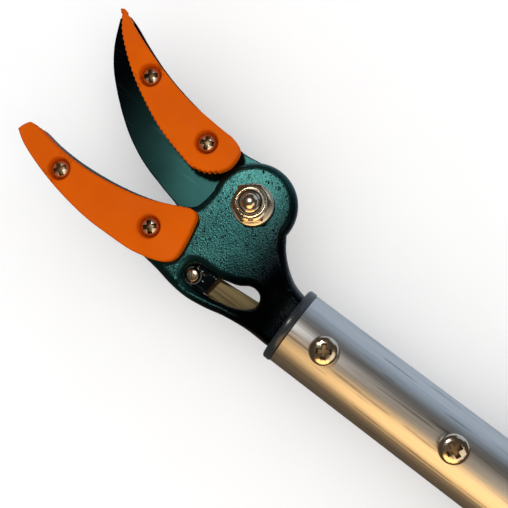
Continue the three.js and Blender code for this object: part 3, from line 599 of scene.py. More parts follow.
def add_part(bm, part):
    mesh = bpy.data.meshes.new("part")
    part.to_mesh(mesh)
    part.free()
    bm.from_mesh(mesh)
    bpy.data.meshes.remove(mesh)


def cut_rows(bm, axis, places):
    """Cuts extra rows of edges across the mesh, so that it can be bent there."""
    normal = Vector((axis == "X", axis == "Y", axis == "Z"))
    for place in places:
        geometry = bm.verts[:] + bm.edges[:] + bm.faces[:]
        bmesh.ops.bisect_plane(bm, geom=geometry, plane_co=normal * place, plane_no=normal, dist=1e-7)


# %% From a bmesh to a finished piece
def piece(name, bm, finish, body, replaced=(), sharp=40, extra=()):
    mesh = bpy.data.meshes.new(name)
    bm.to_mesh(mesh)
    bm.free()
    for key in (finish, *extra):
        mesh.materials.append(finishes[key])
    mesh.shade_smooth()
    mesh.set_sharp_from_angle(angle=math.radians(sharp))
    obj = bpy.data.objects.new(name, mesh)
    scene.collection.objects.link(obj)
    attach(obj, body)
    if replaced:
        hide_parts(*replaced)
    size = (Vector(obj.bound_box[6]) - Vector(obj.bound_box[0])) / MM
    print(f"{name}: {len(mesh.polygons)} faces, {size.x:.1f} x {size.y:.1f} x {size.z:.1f} mm")
    return obj


# %% [markdown]
# ## The painted head
# On the real tool this is one casting: a flat boss round the pivot, a slender fixed hook, a slot
# for the link pin, and a neck that thickens into the pole. A sculpted mesh would lose its true
# outline, so the outline is drawn through measured points and given a wide rolled front edge. The
# neck is then cut into rows and lifted along a smooth curve.
# %% Outline of the head
NECK_EDGE = [(-0.4, -8.9), (1.9, -9.0), (5.9, -10.1), (9.9, -12.6), (13.4, -15.9), (15.9, -19.5)]
HOOK_INNER = [
    (40.8, -13.8), (42.5, -10.3), (49.7, -6.5), (57.3, -4.1), (66.0, -2.4), (76.2, -1.4), (85.0, -1.5),
    (91.5, -2.3), (93.8, -2.0),
]
HOOK_OUTER = [
    (
        93.8, -2.0,
    ), (95.6, 1.3), (91.0, 4.0), (83.6, 6.5), (74.5, 8.5), (64.6, 9.7), (56.8, 9.7), (48.5, 9.3), (41.0, 9.9),
    (34.4, 11.0), (28.5, 11.3), (22.2, 10.4), (16.7, 9.1), (9.0, 8.1), (1.9, 8.1), (-0.4, 8.1),
]
SLOT_LOOP = [
    (32.4, 6.8), (33.3, 4.8), (32.7, 2.8), (30.8, 1.6), (27.7, 1.5), (24.4, 1.4), (21.7, 0.7), (
        18.6, -0.2,
    ), (15.9, -1.9), (14.1, -2.3),
    (
        12.2, -1.8,
    ), (
        11.1, -0.5,
    ), (
        10.9, 1.2,
    ), (11.6, 2.7), (13.8, 4.5), (16.8, 5.8), (19.5, 6.5), (22.8, 7.2), (26.8, 7.7), (31.2, 7.6), (32.4, 6.8),
]
PIVOT = Vector((28.3, -20.8, 0))
BOSS_RADIUS = 12.4
LINK = Vector((30.8, 5.3, 0))
HOOK_PAD_SCREWS = [Vector((79.0, 3.5, 0)), Vector((47.7, 1.2, 0))]
BLADE_PAD_SCREWS = [Vector((73.5, -33.1, 0)), Vector((48.7, -27.1, 0))]

boss_edge = arc(PIVOT.x, PIVOT.y, BOSS_RADIUS, 174, 374.4)
head_outline = outline(spline(NECK_EDGE), boss_edge, spline([boss_edge[-1][:2], *HOOK_INNER]), spline(HOOK_OUTER))
slot_outline = outline(spline(SLOT_LOOP, 0.4))
bolt_hole = outline(arc(PIVOT.x, PIVOT.y, 3.3, 0, 360))
print("head outline:", len(head_outline), "points")


# %% The head's plate, neck and ribs
NECK_END, NECK_RISE, NECK_ROWS = 15.0, 3.8, [3, 4.5, 6, 7.5, 9, 10.5, 12, 13.5]
PLATE_BACK, PLATE_FRONT = 0.4, 4.0


def lift_neck(bm):
    for v in bm.verts:
        x, z = (v.co.x - MOUTH.x) / MM, v.co.z / MM
        share = (z - PLATE_BACK) / (PLATE_FRONT - PLATE_BACK)
        if x < NECK_END and share > 0:
            part = max(0.0, min(1.0, (x - 1.9) / (NECK_END - 1.9)))
            v.co.z += share * NECK_RISE * (0.5 + 0.5 * math.cos(math.pi * part)) * MM


head = plate([head_outline, slot_outline, bolt_hole], PLATE_BACK, PLATE_FRONT, 0.4, 2.5, steps=8)
cut_rows(head, "X", [MOUTH.x + x * MM for x in NECK_ROWS])
lift_neck(head)
for low, high in (((0.2, -8.7, -4.2), (9.6, -3.9, 1.6)), ((0.2, 7.1, -4.2), (9.6, 8.0, 1.6))):
    add_part(head, block(low, high, 0.4))
add_part(head, block((-60, -4.2, 4.4), (2.0, 4.2, 7.8), 0.5))
piece("painted_head", head, "casting_paint", "head_section", ["head_casting"], sharp=60)

# %% [markdown]
# ## The blade
# The blade is stamped from sheet, with a ground cutting edge on the side that faces the hook and a
# round arm for the link pin. The rear face is ground, so the front keeps its paint up to the edge.
# The grind is made by raising the rear rim along the cutting edge to a thin land.
# %% Outline of the blade
BLADE_EDGE = [
    (95.0, -42.4), (91.7, -35.2), (87.5, -29.3), (82.2, -24.2), (76.3, -19.5), (69.8, -15.3), (62.2, -11.9),
    (53.6, -9.5), (46.0, -7.5), (39.5, -3.5),
]
BLADE_BACK = [
    (33.5, -32.1), (40.3, -31.4), (47.0, -32.5), (55.0, -33.6), (65.0, -35.3), (74.3, -37.7), (82.6, -40.7),
    (90.6, -44.05), (93.5, -44.4), (95.0, -42.4),
]
ARM_RADIUS = 5.6
arm = arc(LINK.x, LINK.y, ARM_RADIUS, -8.6, 180)
blade_boss = arc(PIVOT.x, PIVOT.y, BOSS_RADIUS - 1, 162, 279)
cutting_edge = spline([*BLADE_EDGE, arm[0][:2]])
arm_side = spline([arm[-1][:2], (24.2, 0.5), (20.5, -8.0), (17.8, -16.0), blade_boss[0][:2]])
blade_outline = outline(cutting_edge, arm, arm_side, blade_boss, spline([blade_boss[-1][:2], *BLADE_BACK]))
bush_hole = outline(arc(PIVOT.x, PIVOT.y, 4.5, 0, 360))
pin_hole = outline(arc(LINK.x, LINK.y, 2.1, 0, 360, 0.3))
print("blade outline:", len(blade_outline), "points")

# %% The blade's plate and its ground edge
GRIND_WIDTH, GRIND_LAND, GRIND_END_X = 3.2, 0.5, 46.0


def near(run):
    """A search tree over a run of points, in metres."""
    tree = kdtree.KDTree(len(run))
    for i, p in enumerate(run):
        tree.insert(MOUTH + p * MM, i)
    tree.balance()
    return tree


def grind(bm, edge):
    tree = near(edge)
    for v in bm.verts:
        if v.co.z < -1.5 * MM and v.co.x > MOUTH.x + GRIND_END_X * MM:
            _, _, distance = tree.find((v.co.x, v.co.y, 0))
            if distance < 1.2 * MM:
                v.co.z = max(v.co.z, -(GRIND_LAND + 2.4 * distance / GRIND_WIDTH / MM) * MM)


blade = plate([blade_outline, bush_hole, pin_hole], -3.0, 0.0, 0.25, 0.25, steps=3)
back_faces = [f for f in blade.faces if f.normal.z < -0.99]
bmesh.ops.inset_region(blade, faces=back_faces, thickness=1.0 * MM, use_boundary=True, use_even_offset=False)
grind(blade, cutting_edge)
piece("painted_blade", blade, "blade_paint", "blade", ["cutting_blade"], sharp=50)

# %% [markdown]
# ## The grip pads
# Two thick plastic pads are screwed on, one to the blade and one to the hook, and hold the stem
# after the cut. The blade's pad has a row of small round teeth. Teeth drawn into the outline would
# tangle as the edge is rolled, so the pad is rolled smooth first, and then its wall is pushed in
# between the teeth, less and less towards the top.
# %% Teeth along a wall
PAD_FRONT, RECESS_RADIUS, RECESS_FLOOR = 8.5, 3.3, 5.2
TOOTH_PITCH, TOOTH_DEPTH, TOOTH_REACH = 1.6, 0.8, 2.6
TOOTH_SPACING = 0.05


def press_teeth(bm, edge, side, depth, fade_from):
    """Pushes the wall near the edge towards the pad, between the teeth."""
    fine = evenly(edge, TOOTH_SPACING)
    tree = near(fine)
    for v in bm.verts:
        _, i, distance = tree.find((v.co.x, v.co.y, 0))
        if distance > TOOTH_REACH * MM or not 0 < i < len(fine) - 1:
            continue
        tangent = (fine[i + 1] - fine[i - 1]).normalized()
        lobe = abs(math.sin(math.pi * i * TOOTH_SPACING / TOOTH_PITCH))
        fade = max(0.15, min(1.0, (PAD_FRONT - v.co.z / MM) / fade_from))
        fade *= 1 - distance / (TOOTH_REACH * MM)
        v.co += side * Vector((-tangent.y, tangent.x, 0)) * depth * (1 - lobe) * fade * MM


def pad_recess(centre):
    return outline(arc(centre.x, centre.y, RECESS_RADIUS, 0, 360, 0.4))


def recess_floors(bm, centres, back):
    """A round cup under each recess: its floor, a wall up to the pad's face and a hole for the screw."""
    for c in centres:
        cup = [
            (1.8, back), (3.6, back), (3.6, PAD_FRONT - 1.2), (3.28, PAD_FRONT - 1.2),
            (3.1, RECESS_FLOOR + 0.2), (2.9, RECESS_FLOOR), (1.8, RECESS_FLOOR), (1.8, back),
        ]
        add_part(bm, spun(cup, MOUTH + c * MM, steps=48))


# %% The blade's pad
BLADE_PAD_EDGE = [
    (92.4, -43.4), (90.6, -41.6), (87.5, -37.8), (79.8, -31.7), (71.1, -26.6), (61.3, -22.3), (49.8, -19.3),
    (47.6, -19.3), (44.0, -20.2), (41.2, -22.2),
]
BLADE_PAD_HEEL = [(41.2, -22.2), (39.7, -24.4), (39.1, -26.8), (39.4, -29.8), (41.0, -31.6), (43.7, -32.4)]
BLADE_PAD_BACK = [
    (43.7, -32.4), (49.6, -32.7), (60.5, -33.9), (72.4, -36.8), (83.3, -40.6), (91.0, -43.8), (92.1, -44.0),
    (92.4, -43.4),
]
pad_edge = spline(BLADE_PAD_EDGE, 0.2)
pad_outline = outline(pad_edge, spline(BLADE_PAD_HEEL, 0.4), spline(BLADE_PAD_BACK, 0.4))

blade_pad = plate([pad_outline, *map(pad_recess, BLADE_PAD_SCREWS)], 4.4, PAD_FRONT, 0.3, 0.8, steps=5)
press_teeth(blade_pad, pad_edge, 1, TOOTH_DEPTH, 1.0)
recess_floors(blade_pad, BLADE_PAD_SCREWS, 4.5)


SOLE_BACK, SOLE_FRONT, SOLE_INSET, SOLE_CLEARANCE = 0.3, 5.0, 1.4, 3.6


def sole(loop, back, front, inset, clear):
    """The pad's narrower sole, which reaches down to the blade clear of the head's boss."""
    bm = plate([loop], back, front, 0.0, 0.0)
    for v in bm.verts:
        inward = -sum((f.normal for f in v.link_faces if abs(f.normal.z) < 0.5), Vector()).normalized()
        v.co += inward * inset * MM
        away = v.co - (MOUTH + PIVOT * MM)
        away.z = 0
        if away.length < clear * MM:
            v.co += away.normalized() * (clear * MM - away.length)
    return bm


sole_loop = outline(*[spline(run, 0.8) for run in (BLADE_PAD_EDGE, BLADE_PAD_HEEL, BLADE_PAD_BACK)])
add_part(blade_pad, sole(sole_loop, SOLE_BACK, SOLE_FRONT, SOLE_INSET, BOSS_RADIUS + SOLE_CLEARANCE))
piece("blade_pad", blade_pad, "orange_grip", "blade", ["blade_grip_pad"], sharp=55)

# %% The hook's pad
HOOK_PAD_EDGE = [
    (41.5, -9.7), (50.0, -5.9), (57.2, -3.5), (67.7, -1.6), (76.3, -1.0), (83.7, -1.3), (90.2, -2.3),
    (93.4, -2.4),
]
HOOK_PAD_TIP = [(93.4, -2.4), (94.6, -2.1), (95.8, -0.2), (96.3, 1.5)]
HOOK_PAD_BACK = [
    (96.3, 1.5), (91.8, 4.1), (83.6, 6.8), (74.5, 8.8), (64.6, 10.0), (56.8, 10.0), (48.5, 9.6), (42.5, 8.3),
]
HOOK_PAD_HEEL = [
    (42.5, 8.3), (38.6, 6.6), (36.5, 3.6), (36.8, -1.6), (37.5, -5.2), (38.2, -8.2), (39.4, -9.7),
    (41.5, -9.7),
]
hook_edge = spline(HOOK_PAD_EDGE, 0.2)
hook_outline = outline(hook_edge, spline(HOOK_PAD_TIP, 0.4), spline(HOOK_PAD_BACK, 0.4), spline(HOOK_PAD_HEEL, 0.4))

hook_pad = plate([hook_outline, *map(pad_recess, HOOK_PAD_SCREWS)], 4.3, PAD_FRONT, 0.3, 0.9, steps=5)
press_teeth(hook_pad, hook_edge, 1, 0.32, 1.6)
recess_floors(hook_pad, HOOK_PAD_SCREWS, 4.4)
piece("hook_pad", hook_pad, "orange_grip", "head_section", ["hook_grip_pad"], sharp=55)

# %% [markdown]
# ## Screws
# Six cross-recess screws hold the head to the pole and the pads to the jaws. The head is a spun
# dome. Its cross is cut by planes into the dome's own faces, which are then pushed down and drawn
# in, so the recess tapers as a pressed one does, and its faces take a darker brown metal as painted
# shade.
# %% A screw with a pressed cross
CROSS_TAPER = 0.72
DOME = [(1.0, 0.0), (1.0, 0.35), (0.97, 0.55), (0.90, 0.73), (0.76, 0.88), (0.55, 0.96), (0.3, 0.99), (0.0, 1.0)]


def press_cross(bm, centre, base, arm, half, depth, turn, arms=2):
    """Cuts a cross with the given arm and half width into the faces above base, and sinks it."""
    spin_to = Matrix.Rotation(turn, 3, "Z")
    for direction in (Vector((1, 0, 0)), Vector((0, 1, 0))):
        for offset in (-arm, -half, half, arm):
            top = [f for f in bm.faces if f.calc_center_median().z > base]
            geometry = top + list({e for f in top for e in f.edges}) + list({v for f in top for v in f.verts})
            normal = spin_to @ direction
            bmesh.ops.bisect_plane(bm, geom=geometry, plane_co=centre + normal * offset, plane_no=normal, dist=1e-8)
    inside = []
    for f in bm.faces:
        at = spin_to.transposed() @ (f.calc_center_median() - centre)
        reach = sorted((abs(at.x), abs(at.y))) if arms == 2 else (abs(at.x), abs(at.y))
        if f.calc_center_median().z > base and reach[0] < half and reach[1] < arm:
            inside.append(f)
    made = bmesh.ops.extrude_face_region(bm, geom=inside)
    bmesh.ops.delete(bm, geom=[f for f in inside if f.is_valid], context="FACES")
    floor = [g for g in made["geom"] if isinstance(g, bmesh.types.BMFace)]
    verts = list({v for f in floor for v in f.verts})
    bmesh.ops.translate(bm, verts=verts, vec=(0, 0, -depth))
    bmesh.ops.scale(bm, verts=verts, vec=(CROSS_TAPER, CROSS_TAPER, 1), space=Matrix.Translation(-centre))
    # The recess faces take the second slot, a darker metal laid on as painted shade.
    for f in {f for v in verts for f in v.link_faces}:
        f.material_index = 1


def screw(centre, seat, radius, height, shank, end, turn=0.0, flip=False, cross=(0.52, 0.17)):
    """A screw whose head sits at z seat and whose shank ends at z end, in mm."""
    origin = MOUTH + centre * MM if not flip else centre
    profile = [(0, end), (shank - 0.25, end), (shank, end + 0.4), (shank, seat), (radius - 0.15, seat)]
    profile += [(radius * r, seat + height * max(h, 0.08)) for r, h in DOME]
    bm = spun(profile, origin, steps=40)
    press_cross(
        bm, origin, (seat + 0.3 * height) * MM, cross[0] * radius * MM, cross[1] * radius * MM,
        0.5 * height * MM, turn,
    )
    if flip:
        bmesh.ops.rotate(bm, verts=bm.verts[:], cent=(origin.x, origin.y, 0), matrix=Matrix.Rotation(math.pi, 3, "X"))
    return bm


# %% The head's screws
HEAD_SCREWS = [Vector((-11.2, -0.8, 0)), Vector((-51.7, -0.8, 0))]
TUBE_RADIUS = 11.0
for i, (at, turn) in enumerate(zip(HEAD_SCREWS, (0.55, 1.15)), 1):
    made = screw(at, TUBE_RADIUS + 0.2, 4.0, 2.5, 2.0, 4.8, turn)
    piece(f"pole_screw_{i}", made, "nickel", "head_section", [f"head_screw_{i}"], sharp=50, extra=["recess_shade"])
for i, (at, turn) in enumerate(zip(HOOK_PAD_SCREWS, (0.95, 0.75)), 1):
    made = screw(at, RECESS_FLOOR + 0.05, 2.5, 2.4, 1.5, 0.7, turn, cross=(0.80, 0.27))
    piece(
        f"hook_screw_{i}", made, "dull_nickel", "head_section", [f"hook_pad_screw_{i}"], sharp=50,
        extra=["recess_shade"],
    )
for i, (at, turn) in enumerate(zip(BLADE_PAD_SCREWS, (0.7, 0.4)), 1):
    made = screw(at, RECESS_FLOOR + 0.05, 2.5, 2.4, 1.5, -2.7, turn, cross=(0.80, 0.27))
    piece(
        f"blade_screw_{i}", made, "dull_nickel", "blade", [f"blade_pad_screw_{i}"], sharp=50,
        extra=["recess_shade"],
    )

# %% [markdown]
# ## The pivot
# A bolt, washers and a hexagon nut with a round collar hold the blade. The nut is spun as a ring
# with chamfered corners, and its wall is then pulled in to six flats: where the chamfer is already
# narrower than the flats, it stays round, which gives the curved edges of a real nut.
# %% Bolt, nut and washers
HEX_CORNER = 5.77
HEX_TURN = math.radians(36.9)
PIVOT_AT = MOUTH + PIVOT * MM


def six_flats(bm, centre, corner, turn, low, high):
    flat = corner * math.cos(math.pi / 6) * MM
    for v in bm.verts:
        out = (v.co - centre).xy
        if low * MM <= v.co.z <= high * MM and out.length > flat:
            angle = (math.atan2(out.y, out.x) + math.pi / 6) % (math.pi / 3) - math.pi / 6
            limit = flat / math.cos(math.pi / 6 - abs(angle))
            new = out * min(1.0, limit / out.length)
            v.co.x, v.co.y = centre.x + new.x, centre.y + new.y
    bmesh.ops.rotate(bm, verts=bm.verts[:], cent=centre, matrix=Matrix.Rotation(turn, 3, "Z"))


def chamfered(inner, corner, low, high, drop=0.6, crown=0.0):
    """A ring's profile with a chamfer above and below."""
    flat = corner * math.cos(math.pi / 6) - 0.05
    steps = [(flat + (corner - flat) * k / 5, drop * k / 5) for k in range(6)]
    rise = [(r, low + h) for r, h in steps]
    fall = [(r, high - h) for r, h in reversed(steps)]
    return [(inner, low), *rise, *fall, (inner, high + crown), (inner, low)]


nut = spun(chamfered(3.2, HEX_CORNER, 5.9, 9.3, crown=0.4), PIVOT_AT, steps=96)
six_flats(nut, PIVOT_AT, HEX_CORNER, HEX_TURN, 5.8, 9.4)
collar = [
    (3.2, 9.0), (4.6, 9.0), (4.58, 9.6), (4.4, 9.95), (4.15, 10.0), (4.0, 9.85), (3.85, 9.95), (3.7, 10.35),
    (3.45, 10.6), (3.2, 10.55), (3.2, 9.0),
]
add_part(nut, spun(collar, PIVOT_AT, steps=72))
piece("lock_hex_nut", nut, "nickel", "head_section", ["pivot_nut"], sharp=28)

BOLT_END = [
    (0, -5.2), (3.0, -5.2), (3.0, 10.4), (2.92, 10.9), (2.6, 11.1), (2.35, 11.05), (2.2, 11.25), (1.9, 11.6),
    (1.4, 11.9), (0.8, 12.05), (0, 12.1),
]
bolt = spun(BOLT_END, PIVOT_AT, steps=56)
head_profile = [(0, -8.6), (1.2, -8.6), *chamfered(3.2, HEX_CORNER, -8.6, -4.7)[1:-2], (0, -4.7)]
bolt_head = spun(head_profile, PIVOT_AT, steps=96)
six_flats(bolt_head, PIVOT_AT, HEX_CORNER, HEX_TURN, -8.7, -4.6)
add_part(bolt, bolt_head)
piece("pivot_hex_bolt", bolt, "nickel", "head_section", ["pivot_bolt"], sharp=32)


def washer(name, finish, body, replaced, inner, outer, low, high, edge=0.2):
    profile = [
        (inner, low + edge), (inner + edge, low), (outer - edge, low), (outer, low + edge),
        (outer, high - edge), (outer - edge, high), (inner + edge, high), (inner, high - edge), (inner, low + edge),
    ]
    piece(name, spun(profile, PIVOT_AT, steps=72), finish, body, [replaced], sharp=50)


washer("front_washer", "dull_nickel", "head_section", "pivot_washer", 3.3, 6.0, 4.3, 5.6)
washer("rear_washer", "dull_nickel", "head_section", "pivot_rear_washer", 3.3, 6.0, -4.4, -3.3)
washer("blade_bush", "brass_strap", "head_section", "pivot_bush", 3.3, 4.2, -3.0, 0.0, 0.1)

# %% [markdown]
# ## Link pin, clip and strap
# The strap pulls on a pin at the end of the blade's arm. The pin's end has a slot, and a small
# spring clip holds it. The strap is flat brass-coloured bar with a step in it, so it is made
# straight from its plan and then bent down along its length.
# %% Pin and clip
LINK_AT = MOUTH + LINK * MM
pin_profile = [
    (0, -7.0), (2.7, -7.0), (3.0, -6.8), (3.0, -5.7), (2.8, -5.5), (1.8, -5.5), (1.8, 1.2), (1.65, 1.5),
    (1.3, 1.6), (0.7, 1.65), (0, 1.65),
]
pin = spun(pin_profile, LINK_AT, steps=40)
press_cross(pin, LINK_AT, 1.0 * MM, 1.55 * MM, 0.24 * MM, 0.45 * MM, 0.75, arms=1)
piece("arm_pin", pin, "nickel", "blade", ["link_pin"], sharp=40, extra=["recess_shade"])

clip_ring = [
    (2.1, 0.35), (2.2, 0.3), (2.6, 0.3), (2.7, 0.45), (2.7, 0.75), (2.6, 0.9), (2.2, 0.9), (2.1, 0.8),
    (2.1, 0.35),
]
clip = bmesh.new()
ring_verts = [clip.verts.new(LINK_AT + Vector((r, 0, h)) * MM) for r, h in clip_ring[:-1]]
ring_edges = [clip.edges.new(pair) for pair in zip(ring_verts, ring_verts[1:] + ring_verts[:1])]
ring_face = bmesh.ops.contextual_create(clip, geom=ring_edges)["faces"]
bmesh.ops.spin(clip, geom=ring_face, cent=LINK_AT, axis=(0, 0, 1), angle=math.radians(300), steps=40)
bmesh.ops.rotate(clip, verts=clip.verts[:], cent=LINK_AT, matrix=Matrix.Rotation(math.radians(-60), 3, "Z"))
bmesh.ops.recalc_face_normals(clip, faces=clip.faces[:])
piece("arm_pin_clip", clip, "oiled_steel", "blade", ["link_pin_clip"], sharp=40)

# %% The strap, straight first and then stepped and turned
CLEVIS_X = -30.0
STRAP_LENGTH = math.hypot(LINK.x - CLEVIS_X, LINK.y)
STRAP_TURN = math.atan2(-LINK.y, CLEVIS_X - LINK.x)
STRAP_HALF_WIDTH, STRAP_STEP, STEP_FROM = 3.1, -4.4, 28.8
ORIGIN = Vector((0, 0, 0))

ends = outline(
    [Vector((x, -STRAP_HALF_WIDTH, 0)) for x in (0.4, 10, 20, 28, 36, 44, 52, STRAP_LENGTH)],
    arc(STRAP_LENGTH, 0, STRAP_HALF_WIDTH, -90, 90),
    [Vector((x, STRAP_HALF_WIDTH, 0)) for x in (52, 44, 36, 28, 20, 10, 0.4)],
    arc(0, 0, STRAP_HALF_WIDTH, 90, 270),
)
strap_holes = [outline(arc(0, 0, 2.1, 0, 360, 0.4)), outline(arc(STRAP_LENGTH, 0, 2.3, 0, 360, 0.4))]
strap = plate([ends, *strap_holes], -0.8, 0.8, 0.3, 0.3, steps=3, origin=ORIGIN)
cut_rows(strap, "X", [(STEP_FROM + k) * MM for k in range(0, 9)])
for v in strap.verts:
    part = max(0.0, min(1.0, (v.co.x / MM - STEP_FROM) / 8))
    v.co.z += STRAP_STEP * (0.5 + 0.5 * math.cos(math.pi * part)) * MM
bmesh.ops.rotate(strap, verts=strap.verts[:], cent=(0, 0, 0), matrix=Matrix.Rotation(STRAP_TURN, 3, "Z"))
bmesh.ops.translate(strap, verts=strap.verts[:], vec=LINK_AT)
piece("stepped_strap", strap, "brass_strap", "strap", ["pull_strap"], sharp=50)

# %% [markdown]
# ## Tubes and foam grip
# The tubes are drawn, so each is a short profile of its wall spun about the pole, with the rims
# broken by a file. The foam grip is spun too: it is a fat sleeve with shallow rings pressed in.
# %% Spun tubes
def tube(name, node_name, outer, inner, finish, body, rim=0.25, steps=128, reach=0.0):
    low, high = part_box(node_name)
    x0, x1 = low.x / MM, high.x / MM + reach
    profile = [
        (inner + rim, x0), (outer - rim, x0), (outer, x0 + rim), (outer, x1 - rim), (outer - rim, x1),
        (inner + rim, x1), (inner, x1 - rim), (inner, x0 + rim), (inner + rim, x0),
    ]
    return piece(name, spun(profile, ORIGIN, "X", steps), finish, body, [node_name], sharp=30)


tube("inner_pole", "upper_tube", 11.0, 9.8, "aluminium", "head_section", rim=0.12, reach=0.24)
tube("tail_ring", "tail_bush", 12.0, 11.3, "black_plastic", "head_section", 0.15, 64)

# %% Foam sleeve with rings
grip_low, grip_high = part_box("fore_grip")
GRIP_RADIUS, GRIP_BORE = grip_high.z / MM, 13.8
foam_profile = [(GRIP_BORE, grip_low.x / MM)]
length = (grip_high.x - grip_low.x) / MM
for k in range(121):
    x = k / 120 * length
    end = min(x, length - x)
    radius = GRIP_RADIUS - 2.6 * max(0.0, 1 - end / 3) ** 2
    ring = math.cos(2 * math.pi * x / 12.5)
    groove = 0.8 * max(0.0, ring - 0.72) / 0.28 if end > 8 else 0.0
    foam_profile.append((radius - groove, grip_low.x / MM + x))
foam_profile += [(GRIP_BORE, grip_high.x / MM), (GRIP_BORE, grip_low.x / MM)]
piece("foam_sleeve", spun(foam_profile, ORIGIN, "X", 72), "foam", "handle", ["fore_grip"], sharp=45)


# %% [markdown]
# ## Moulded parts of the handle
# The handle shells, trigger, latch, collar and lever already have their true shapes in the CAD
# model, but with knife-sharp edges. A copy of each is merged, its flat faces are joined again, and
# a small bevel is laid on the sharp edges, as any mould leaves.
# %% A softened copy of a CAD part
MERGE_DISTANCE = 2e-6


def softened(name, node_name, width, finish, body, segments=2, angle=32, sharp=38, reshape=None, added=None):
    bm = bmesh.new()
    bm.from_mesh(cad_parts[node_name].data)
    bmesh.ops.remove_doubles(bm, verts=bm.verts[:], dist=MERGE_DISTANCE)
    if reshape:
        reshape(bm)
    bmesh.ops.dissolve_limit(bm, angle_limit=math.radians(1.5), verts=bm.verts[:], edges=bm.edges[:])
    edges = [e for e in bm.edges if len(e.link_faces) == 2 and e.calc_face_angle() > math.radians(angle)]
    bmesh.ops.bevel(
        bm, geom=edges, offset=width * MM, offset_type="OFFSET", segments=segments, profile=0.5,
        affect="EDGES", material=-1, clamp_overlap=True, loop_slide=False,
    )
    if added:
        add_part(bm, added)
    return piece(name, bm, finish, body, [node_name], sharp=sharp)


# %% The plug's lip
def tucked_rim(bm):
    """Draws the plug's own rim in, so that the rounded lip laid over it shows instead."""
    for v in bm.verts:
        radius = Vector((v.co.y, v.co.z)).length
        if radius > PLUG_HIGH.y - 1.2 * MM:
            v.co.yz = v.co.yz * ((PLUG_HIGH.y - 0.6 * MM) / radius)
            v.co.x = min(v.co.x, PLUG_HIGH.x - 0.3 * MM)


PLUG_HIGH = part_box("tube_plug")[1]
lip_outer, lip_front = PLUG_HIGH.y / MM, PLUG_HIGH.x / MM
LIP_WIDTH = 2.48
lip_back = lip_front - LIP_WIDTH
LIP = [
    (lip_outer - 1.4, lip_back), (lip_outer - 0.4, lip_back), (
        lip_outer - 0.1, lip_back + 0.1,
    ), (lip_outer, lip_back + 0.4),
    (lip_outer, lip_front - 0.75), (
        lip_outer - 0.08, lip_front - 0.42,
    ), (lip_outer - 0.3, lip_front - 0.14), (lip_outer - 0.65, lip_front),
    (lip_outer - 1.1, lip_front), (
        lip_outer - 1.3, lip_front - 0.08,
    ), (lip_outer - 1.4, lip_front - 0.25), (lip_outer - 1.4, lip_back),
]


# %% [markdown]
# The housing's hollow breaks through its wall at one curved corner. A strip of wall is laid just
# behind the same curve, so that the visible shells are closed there.
# %% The wall behind the housing's corner
HOUSING_CURVE = [(100, -17.5), (108, -19.5), (117, -27.5), (126, -36.5), (136, -40.0)]
STRIP_FROM, STRIP_TO = 120.5, 129.5
BEHIND_FACE, STRIP_THICKNESS = Vector((0.04, 0.04, 0)), Vector((1.0, 1.2, 0))


def shell_corner(back, front):
    outside = [p + BEHIND_FACE for p in spline(HOUSING_CURVE) if STRIP_FROM < p.x < STRIP_TO]
    inside = [p + STRIP_THICKNESS for p in reversed(outside)]
    return plate([outline(outside, inside)], back, front, 0.0, 0.0, origin=ORIGIN)


# %% The softened parts
softened(
    "plug", "tube_plug", 0.2, "plug_plastic", "head_section", angle=40, reshape=tucked_rim,
    added=spun(LIP, ORIGIN, "X", 128),
)
softened("outer_pole", "lower_tube", 0.2, "aluminium", "handle")
softened("slide_ring", "slide_bush", 0.25, "black_plastic", "handle")
softened("shell_front", "handle_shell_front", 0.5, "black_plastic", "handle", added=shell_corner(0.2, 17.4))
softened("shell_rear", "handle_shell_rear", 0.5, "black_plastic", "handle", added=shell_corner(-17.4, -0.2))
softened("butt_cap", "end_cap", 0.8, "black_plastic", "handle", segments=3)
softened("squeeze_trigger", "trigger", 0.6, "orange_plastic", "trigger", segments=3)
softened("trigger_latch", "latch", 0.5, "orange_plastic", "latch", segments=3)
softened("pole_collar", "lock_collar", 0.5, "black_plastic", "handle")
softened("collar_lever", "lock_lever", 0.6, "orange_plastic", "lock_lever", segments=3)
softened("collar_bolt", "lock_bolt", 0.2, "nickel", "handle")
softened("collar_nut", "lock_nut", 0.25, "nickel", "handle")

# %% The handle's screws
SHELL_SCREW = {"seat": 16.6, "radius": 3.0, "height": 2.3, "shank": 1.5, "end": -8}
for i in range(1, 5):
    low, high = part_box(f"handle_screw_{i}")
    centre = Vector(((low.x + high.x) / 2, (low.y + high.y) / 2, 0))
    made = screw(centre, **SHELL_SCREW, turn=0.4 * i, flip=True)
    piece(f"shell_screw_{i}", made, "nickel", "handle", [f"handle_screw_{i}"], sharp=50, extra=["recess_shade"])

# %% [markdown]
# The grip's front face carries a soft inlay with cross grooves, where the palm lies. It is a plate
# with a rolled edge. Rows of edges are cut across it, and the middle row of each groove is pushed
# down. The trigger's pin ends in a pressed washer on the same face.
# %% Soft inlay of the grip
INLAY_X, INLAY_HALF_WIDTH, INLAY_CORNER, INLAY_TOP = (15.0, 96.0), 11.0, 5.0, 20.5
GROOVE_PITCH, GROOVE_HALF, GROOVE_DEPTH, GROOVE_REACH = 6.0, 0.5, 0.6, 8.2

